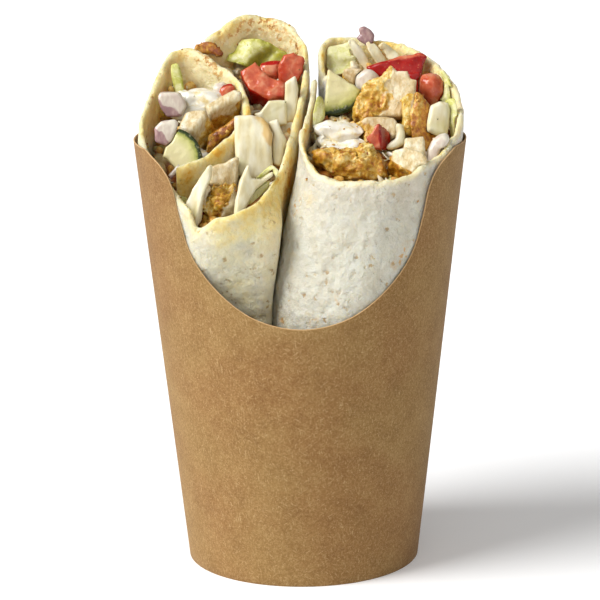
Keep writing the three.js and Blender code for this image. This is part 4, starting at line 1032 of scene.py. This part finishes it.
def shred_shape(dice, size):
    """A thin curved strip, rectangular in section, about `size` long."""
    wide, thick = size * dice.uniform(0.09, 0.15), dice.uniform(0.35, 0.6)
    bend, twist = dice.uniform(0.3, 1.6), dice.uniform(-1.2, 1.2)
    points, stations = [], 12
    for k in range(stations):
        t = k / (stations - 1) - 0.5
        taper = 1 - 0.6 * abs(2 * t) ** 4
        middle = Vector((size * t, size * 0.28 * bend * (t * t - 0.08), size * 0.06 * math.sin(9 * t)))
        turn = Matrix.Rotation(twist * t, 3, (1, 0, 0))
        for a, b in ((-1, -1), (1, -1), (1, 1), (-1, 1)):
            points.append(middle + turn @ Vector((0, a * wide / 2 * taper, b * thick / 2 * taper)))
    faces = grid_faces(stations, 4, close_columns=True)[:, [0, 3, 2, 1]].tolist()
    last = 4 * (stations - 1)
    return points, faces + [[3, 2, 1, 0], [last, last + 1, last + 2, last + 3]]


def food_surface():
    """Every dressed piece so far as one tree for rays, with the piece that each face belongs to."""
    points, faces, owner = [], [], []
    for node, piece in PIECES.items():
        mesh = piece.data
        places = np.empty(3 * len(mesh.vertices))
        mesh.vertices.foreach_get("co", places)
        base = len(points)
        points += [Vector(p) for p in places.reshape(-1, 3) / MM - AXIS]
        faces += [[base + v for v in f.vertices] for f in mesh.polygons]
        owner += [node] * len(mesh.polygons)
    return BVHTree.FromPolygons(points, faces), owner


def scatter(surface, seed, name, material, slot, count, size, shape, hosts, lie=0.3):
    """Bits resting where rays down on the cut meet the named pieces; hosts gives how often each keeps one."""
    dice = random.Random(seed)
    tree, owner = surface
    points, faces, kept = [], [], 0
    for _ in range(count * TRIES):
        if kept == count:
            break
        x, y = dice.uniform(*DROP["x"]), dice.uniform(*DROP["y"])
        start = Vector((x, y, DROP["height"] + DROP["slope"] * y)) - FALL * DROP["above"]
        hit, normal, index, _ = tree.ray_cast(start, FALL)
        if hit is None or -normal.dot(FALL) < 0.15 or dice.random() > hosts.get(owner[index], 0):
            continue
        kept += 1
        length = size * dice.uniform(0.6, 1.4)
        bit, bit_faces = shape(dice, length)
        if shape is crumb_shape:
            spin = Matrix.Rotation(dice.uniform(0, 6.3), 3, any_way(dice))
            height = length * (0.35 - lie)
        else:
            spin = normal.to_track_quat("Z", "Y").to_matrix() @ Matrix.Rotation(dice.uniform(0, 6.3), 3, "Z")
            height = lie
        base = len(points)
        points += [hit + normal * height + spin @ p for p in bit]
        faces += [[base + i for i in f] for f in bit_faces]
    build(name, np.array(points), faces, [material], [])


# ------------------------------------------------------------------ the cup and the two breads

kraft, bread = kraft_board(), flatbread()
cup_wall(kraft, kraft_edge())
cup_floor(kraft)


def right_stain(points, below, share, inner):
    """A little spice on the lip, and sauce inside at the lapped end."""
    lip = smooth(-below, -5, 0) * (0.1 + 0.2 * inner) * (0.7 + 0.9 * fractal(points, 6, 801))
    return lip + 0.3 * inner * smooth(share, 0.05, 0.15)


def left_stain(points, below, share, inner):
    """Spice on the lip, and wet sauce on the outside: the flank at the seam, the inner curl and the front. On
    the flank the stain is partly painted light, a lighter yellow standing in for light bounced between the
    halves.
    """
    outside = 1 - inner
    lip = smooth(-below, -6, 0) * 0.24 * (0.6 + 0.9 * fractal(points, 7, 802))
    # painted light: the flank's stain partly stands in for light bounced between the halves in the seam
    flank = 0.5 * smooth(share, 0.62, 0.7) * smooth(0.93 - share, 0, 0.06) * smooth(points[:, 2], 84, 122)
    flank = flank * smooth(-points[:, 1], -24, 0) * (0.2 + 0.8 * smooth(below, 1, 9))
    low = smooth(fractal(points, 12, 803), -0.3, 0.4)
    curl = smooth(0.17 - share, 0, 0.06) * (0.2 + 0.36 * low)
    front = 0.35 * smooth(share, 0.52, 0.6) * smooth(0.72 - share, 0, 0.04) * smooth(-below, -20, -2)
    damp = 0.14 + 0.12 * smooth(below, 8, 25)
    return lip + 0.2 * inner + (flank + curl + front + damp) * outside


# Where each bread leans on the other, how far in mm, and from which to which depth below the cut it sets in.
RIGHT_LEAN = {"place": (2.0, -27.0), "reach": 9.0, "push": (-3.6, 0.3), "from": 1, "to": 18}
LEFT_LEAN = {"place": (-6.5, -36.5), "reach": 8.0, "push": (5.5, -4.2), "from": -0.5, "to": 11}
# Scorched places: share along the roll, depth below the cut, width, height, and strength.
RIGHT_TOAST = [
    (0.02, 14, 4, 7, 0.6), (0.215, 12, 2, 3, 0.9), (0.25, 45, 2, 2, 0.8), (0.31, 44, 2, 2, 0.5),
    (0.34, 35, 2, 2, 0.4), (0.42, 27, 6, 4, 0.6), (0.8, 4, 6, 3, 0.5), (0.86, 8, 4, 3, 0.5),
    (0.1, 3, 6, 4, 0.6),
]
LEFT_TOAST = [
    (0.222, 1, 9, 2.5, 0.8), (0.872, 4.5, 3, 3, 1.5), (0.83, 12, 4, 3, 0.8), (0.9, 7, 3, 2, 1.0),
    (0.922, 1.5, 7, 2.5, 1.0), (0.96, 4, 5, 2, 0.7), (0.55, 22, 4, 4, 0.5), (0.6, 40, 4, 3, 0.4),
    (0.1, 6, 9, 5, 0.3), (0.68, 6, 4, 5, 0.6),
]
PIECES["right_tortilla"] = rolled_bread("right", bread, 310, RIGHT_LEAN, RIGHT_TOAST, right_stain, 0.45)
PIECES["left_tortilla"] = rolled_bread("left", bread, 320, LEFT_LEAN, LEFT_TOAST, left_stain, 1.0)

# ------------------------------------------------------------------ the food, piece by piece

FILLINGS = [("right_filling", 3.6), ("left_filling_inner", 4.0), ("left_filling_outer", 4.0)]  # chunk height
# Node, side that is crusted, where the crust starts (-2 all over, 2 nowhere), gold, tan, char, roughness.
CHICKEN = [
    ("right_chicken_chunk", (-1, -0.2, 0.25), 0.15, 0.8, 0.45, 0.15, 0.8),
    ("right_chicken_small", (-0.7, 0, -0.7), 0.5, 0.9, 0.5, 0.1, 0.35),
    ("right_chicken_curl", (-1, 0, 0), -0.4, 1.0, 0.5, 0.05, 0.35),
    ("right_chicken_cube", (0, 0, -1), 1.4, 1.0, 0.0, 0.0, 0.2),
    ("right_chicken_end", (-0.7, 0, -0.7), 0.1, 0.5, 0.0, 0.3, 0.5),
    ("right_chicken_ridge", (0, 0, 1), -2, 0.9, 0.4, 0.2, 0.9),
    ("right_chicken_front", (0, 0, 1), -0.9, 0.65, 0.3, 0.45, 0.7),
    ("right_chicken_brown", (0, 0, 1), -2, 0.25, 0.5, 0.2, 0.3),
    ("right_chicken_mid", (-1, 0, -0.5), 0.0, 0.7, 0.4, 0.2, 0.35),
    ("left_chicken_strip_b", (0.4, 0, -0.9), 0.25, 0.8, 0.0, 0.1, 0.3),
    ("left_chicken_strip_a", (0.8, 0, -0.5), 0.2, 0.8, 0.0, 0.1, 0.3),
    ("left_chicken_dark", (0, 0, 1), -2, 0.0, 0.5, 0.9, 0.4),
    ("left_chicken_breast", (0, 0, -1), 0.7, 0.8, 0.0, 0.1, 0.35),
    ("left_chicken_crumb", (-0.8, 0, 0.4), -0.2, 1.0, 0.15, 0.15, 2.2),
    ("left_chicken_low", (0, 0, -1), 0.2, 0.8, 0.2, 0.2, 0.5),
    # left_chicken_grilled lies in the shaded gap under strip_b: its heavy char is partly painted shade
    ("left_chicken_grilled", (0, 0, 1), -2, 0.1, 0.5, 0.9, 0.5),
]
# Node, side that is skin, where the skin starts.
TOMATOES = [
    ("right_tomato_dome", (1, 0, -0.6), 0.9),
    ("right_tomato_slab", (0.2, 0, -1), -0.7),
    ("right_tomato_cheek", (0.5, -1, 0), -0.4),
    ("right_tomato_wedge", (1, 0, 0.1), 0.1),
    ("left_tomato_small", (0, 0, 1), 0.9),
    ("left_tomato_curl", (1, 0, -0.4), 0.75),
    ("left_tomato_big", (-0.7, 0, -0.8), 0.35),
    ("left_tomato_back", (0, 0, 1), 0.7),
]
# Node, side that is violet, where the violet starts.
ONIONS = [
    ("right_onion_purple", (0.4, -0.3, 1), -0.9),
    ("right_onion_pale", (0.5, 0, -1), 0.6),
    ("right_onion_white", (0, 0, -1), 1.2),
    ("left_onion_purple", (-0.6, 0, -0.8), 0.0),
    ("left_onion_low", (-0.6, 0, -0.8), 0.15),
    ("left_onion_small", (0, 0, -1), 0.5),
    ("left_onion_skin", (0, 0, -1), 0.3),
]
# Node, middle of the whole slice, its radius, and for the left one where its side is trimmed and which way.
CUCUMBERS = [
    ("right_cucumber", (9.2, 12.8, cut_height(HALVES["right"], 12.8) + 4.6), 15.0),
    (
        "left_cucumber", (-41.2, -14.8, cut_height(HALVES["left"], -14.8) - 3.8), 10.4,
        ((-44.5, 0, 130), (-1, 0, 0.35)),
    ),
]
# Node, way across its crease, swell, spill and sink.
SAUCES = [("right_sauce", (0.25, 0, 1), -0.1, 0.9, 1.8), ("left_sauce", (0.5, 0, 1), 0.6, 1.4, 0.8)]
# Node, ruffle, green, and for the leaf that folds over the side painted in shade and where that starts.
LEAVES = [
    ("right_lettuce_side", 0.35, 0.5),
    ("right_lettuce_low", 0.35, 0.45),
    ("right_lettuce_inner", 0.35, 0.4),
    ("right_lettuce_back", 0.6, 0.08),
    ("left_lettuce_edge", 0.3, 0.55),
    ("left_leaf_low", 0.5, 0.3),
    ("left_lettuce_back", 0.9, 0.6, ((0.8, 0, -0.7), -0.05)),
]
STRIPS = [
    ("right_cabbage_back_a", 0.4, 0.1),
    ("right_cabbage_back_b", 0.4, 0.1),
    ("right_cabbage_back_c", 0.4, 0.5),
]
# Node, side that is stained, where the stain starts.
STALKS = [
    ("right_cabbage_rib", (0, 0, -1), 1.2),
    ("right_cabbage_curve", (0, 0, -1), 0.8),
    ("left_cabbage_rib", (0.8, 0, 0.8), 0.8),
    ("left_cabbage_low", (0, 0, -1), 1.2),
    ("left_cabbage_left", (-1, 0, -1), 0.8),
    ("left_cabbage_right", (0, 0, -1), 0.5),
    ("left_cabbage_up", (0, 0, -1), 0.8),
    ("left_cabbage_wavy", (0, 0, -1), 0.8),
]

cabbage, sauce = cabbage_strip(), garlic_sauce()
# How each kind is dressed, its material, its first seed, the step between seeds, and its pieces.
KINDS = [
    (dress_filling, packed_meat(), 71, 1, FILLINGS),
    (dress_chicken, cooked_chicken(), 100, 13, CHICKEN),
    (dress_tomato, tomato_flesh(), 400, 11, TOMATOES),
    (dress_onion, onion_flesh(), 500, 7, ONIONS),
    (dress_cucumber, cucumber_slice(), 601, 1, CUCUMBERS),
    (dress_sauce, sauce, 651, 1, SAUCES),
    (dress_leaf, salad_leaf(), 700, 9, LEAVES),
    (dress_leaf, cabbage, 760, 9, STRIPS),
    (dress_stalk, cabbage, 780, 9, STALKS),
]
for dress, material, first_seed, step, rows in KINDS:
    for number, (node, *looks) in enumerate(rows):
        dress(node, material, first_seed + step * number, *looks)

browned = speck("browned_crumb", (120, 52, 10), (190, 124, 36))
golden = speck("golden_crumb", (176, 116, 34), (218, 182, 96))
pale = speck("pale_crumb", (206, 186, 142), (230, 218, 188))
herb = speck("herb_fleck", (36, 46, 12), (76, 84, 26), 0.6)

# How often each piece keeps a bit that falls on it.
PACKED = {node: 1 for node, _ in FILLINGS}
SAUCED = {"right_filling": 0.6, "left_filling_inner": 1, "left_filling_outer": 0.3, "right_chicken_small": 1}
CRUMBED = {**PACKED, **{node: 0.5 for node in CRUSTY}, "right_sauce": 0.25}
CRUMBED.update({"left_tortilla": 0.05, "right_tortilla": 0.03})
SPICED = {node: 0.25 for node in PIECES if "tortilla" not in node}
# Seed, name, material, slot, how many, size, shape, what keeps them, how deep or how high they lie.
BITS = [
    (901, "chicken_bits", golden, "chicken", 110, 3.8, crumb_shape, PACKED, 0.2),
    (902, "pale_bits", pale, "chicken", 50, 3.4, crumb_shape, PACKED, 0.2),
    (903, "cabbage_shreds", cabbage, "cabbage", 60, 9.0, shred_shape, PACKED, 0.4),
    (907, "sauce_smears", sauce, "sauce", 30, 5.0, smear_shape, SAUCED, 0.1),
    (904, "crumbs_browned", browned, "chicken_crust", 260, 1.0, crumb_shape, CRUMBED),
    (905, "crumbs_golden", golden, "chicken", 300, 1.2, crumb_shape, CRUMBED),
    (906, "herb_flecks", herb, "lettuce", 60, 0.4, crumb_shape, SPICED),
]
surface = food_surface()
for bits in BITS:
    scatter(surface, *bits)

# ------------------------------------------------------------------ floor, light and camera


def floor():
    bpy.ops.mesh.primitive_plane_add(size=6, location=(0, 0, 0))
    made = bpy.context.object
    made.name = "floor"
    white, glow = (0.92, 0.92, 0.92, 1), (1, 1, 1, 1)
    paper = Shader("floor_white", 0.9, Base_Color=white, Emission_Color=glow, Emission_Strength=0.12)
    made.data.materials.append(paper.material)


def window_light(name, from_left, above, strength, softness):
    """A big soft light, the same everywhere; its place and its width are in degrees."""
    side, rise = math.radians(from_left), math.radians(above)
    lamp = bpy.data.lights.new(name, "SUN")
    lamp.energy = strength
    lamp.angle = math.radians(softness)
    way = Vector((-math.sin(side) * math.cos(rise), -math.cos(side) * math.cos(rise), math.sin(rise)))
    placed(name, lamp).rotation_euler = way.to_track_quat("Z", "Y").to_euler()


def studio_walls(horizon, low, high):
    """White surroundings: a bright band at the horizon, and dimmer upward."""
    world = bpy.data.worlds.new("studio")
    world.use_nodes = True
    tree = world.node_tree
    way = add_node(tree, "ShaderNodeTexCoord", {}, "Generated")
    height = add_node(tree, "ShaderNodeSeparateXYZ", {0: way}, "Z")
    dome = mapped(tree, height, 0.0, 0.45, low, high)
    band = mapped(tree, height, 0.11, 0.18, horizon - low, 0.0)
    background = tree.nodes["Background"]
    tree.links.new(add_node(tree, "ShaderNodeMath", {0: dome, 1: band}), background.inputs["Strength"])
    background.inputs["Color"].default_value = (1, 1, 1, 1)
    bpy.context.scene.world = world


def camera():
    """A long lens a little above the food, tipped down."""
    pitch, roll = math.radians(12.75), math.radians(-0.524)
    ahead = Vector((0, math.cos(pitch), -math.sin(pitch)))
    level_up = Vector((0, math.sin(pitch), math.cos(pitch)))
    level_right = Vector((1, 0, 0))
    right = level_right * math.cos(roll) + level_up * math.sin(roll)
    up = level_up * math.cos(roll) - level_right * math.sin(roll)
    place = Vector((-0.000553, -0.81913 + AXIS[1] * MM, 0.269905))
    data = bpy.data.cameras.new("camera")
    data.lens = 156
    data.sensor_width = 36
    made = placed("camera", data)
    made.matrix_world = Matrix.Translation(place) @ Matrix((right, up, -ahead)).transposed().to_4x4()
    bpy.context.scene.camera = made


floor()
window_light("key", from_left=68, above=39, strength=4.2, softness=40)
window_light("fill", from_left=-12, above=46, strength=0.5, softness=60)
studio_walls(horizon=1.0, low=0.37, high=0.24)
bpy.context.scene.view_settings.view_transform = "Standard"
camera()
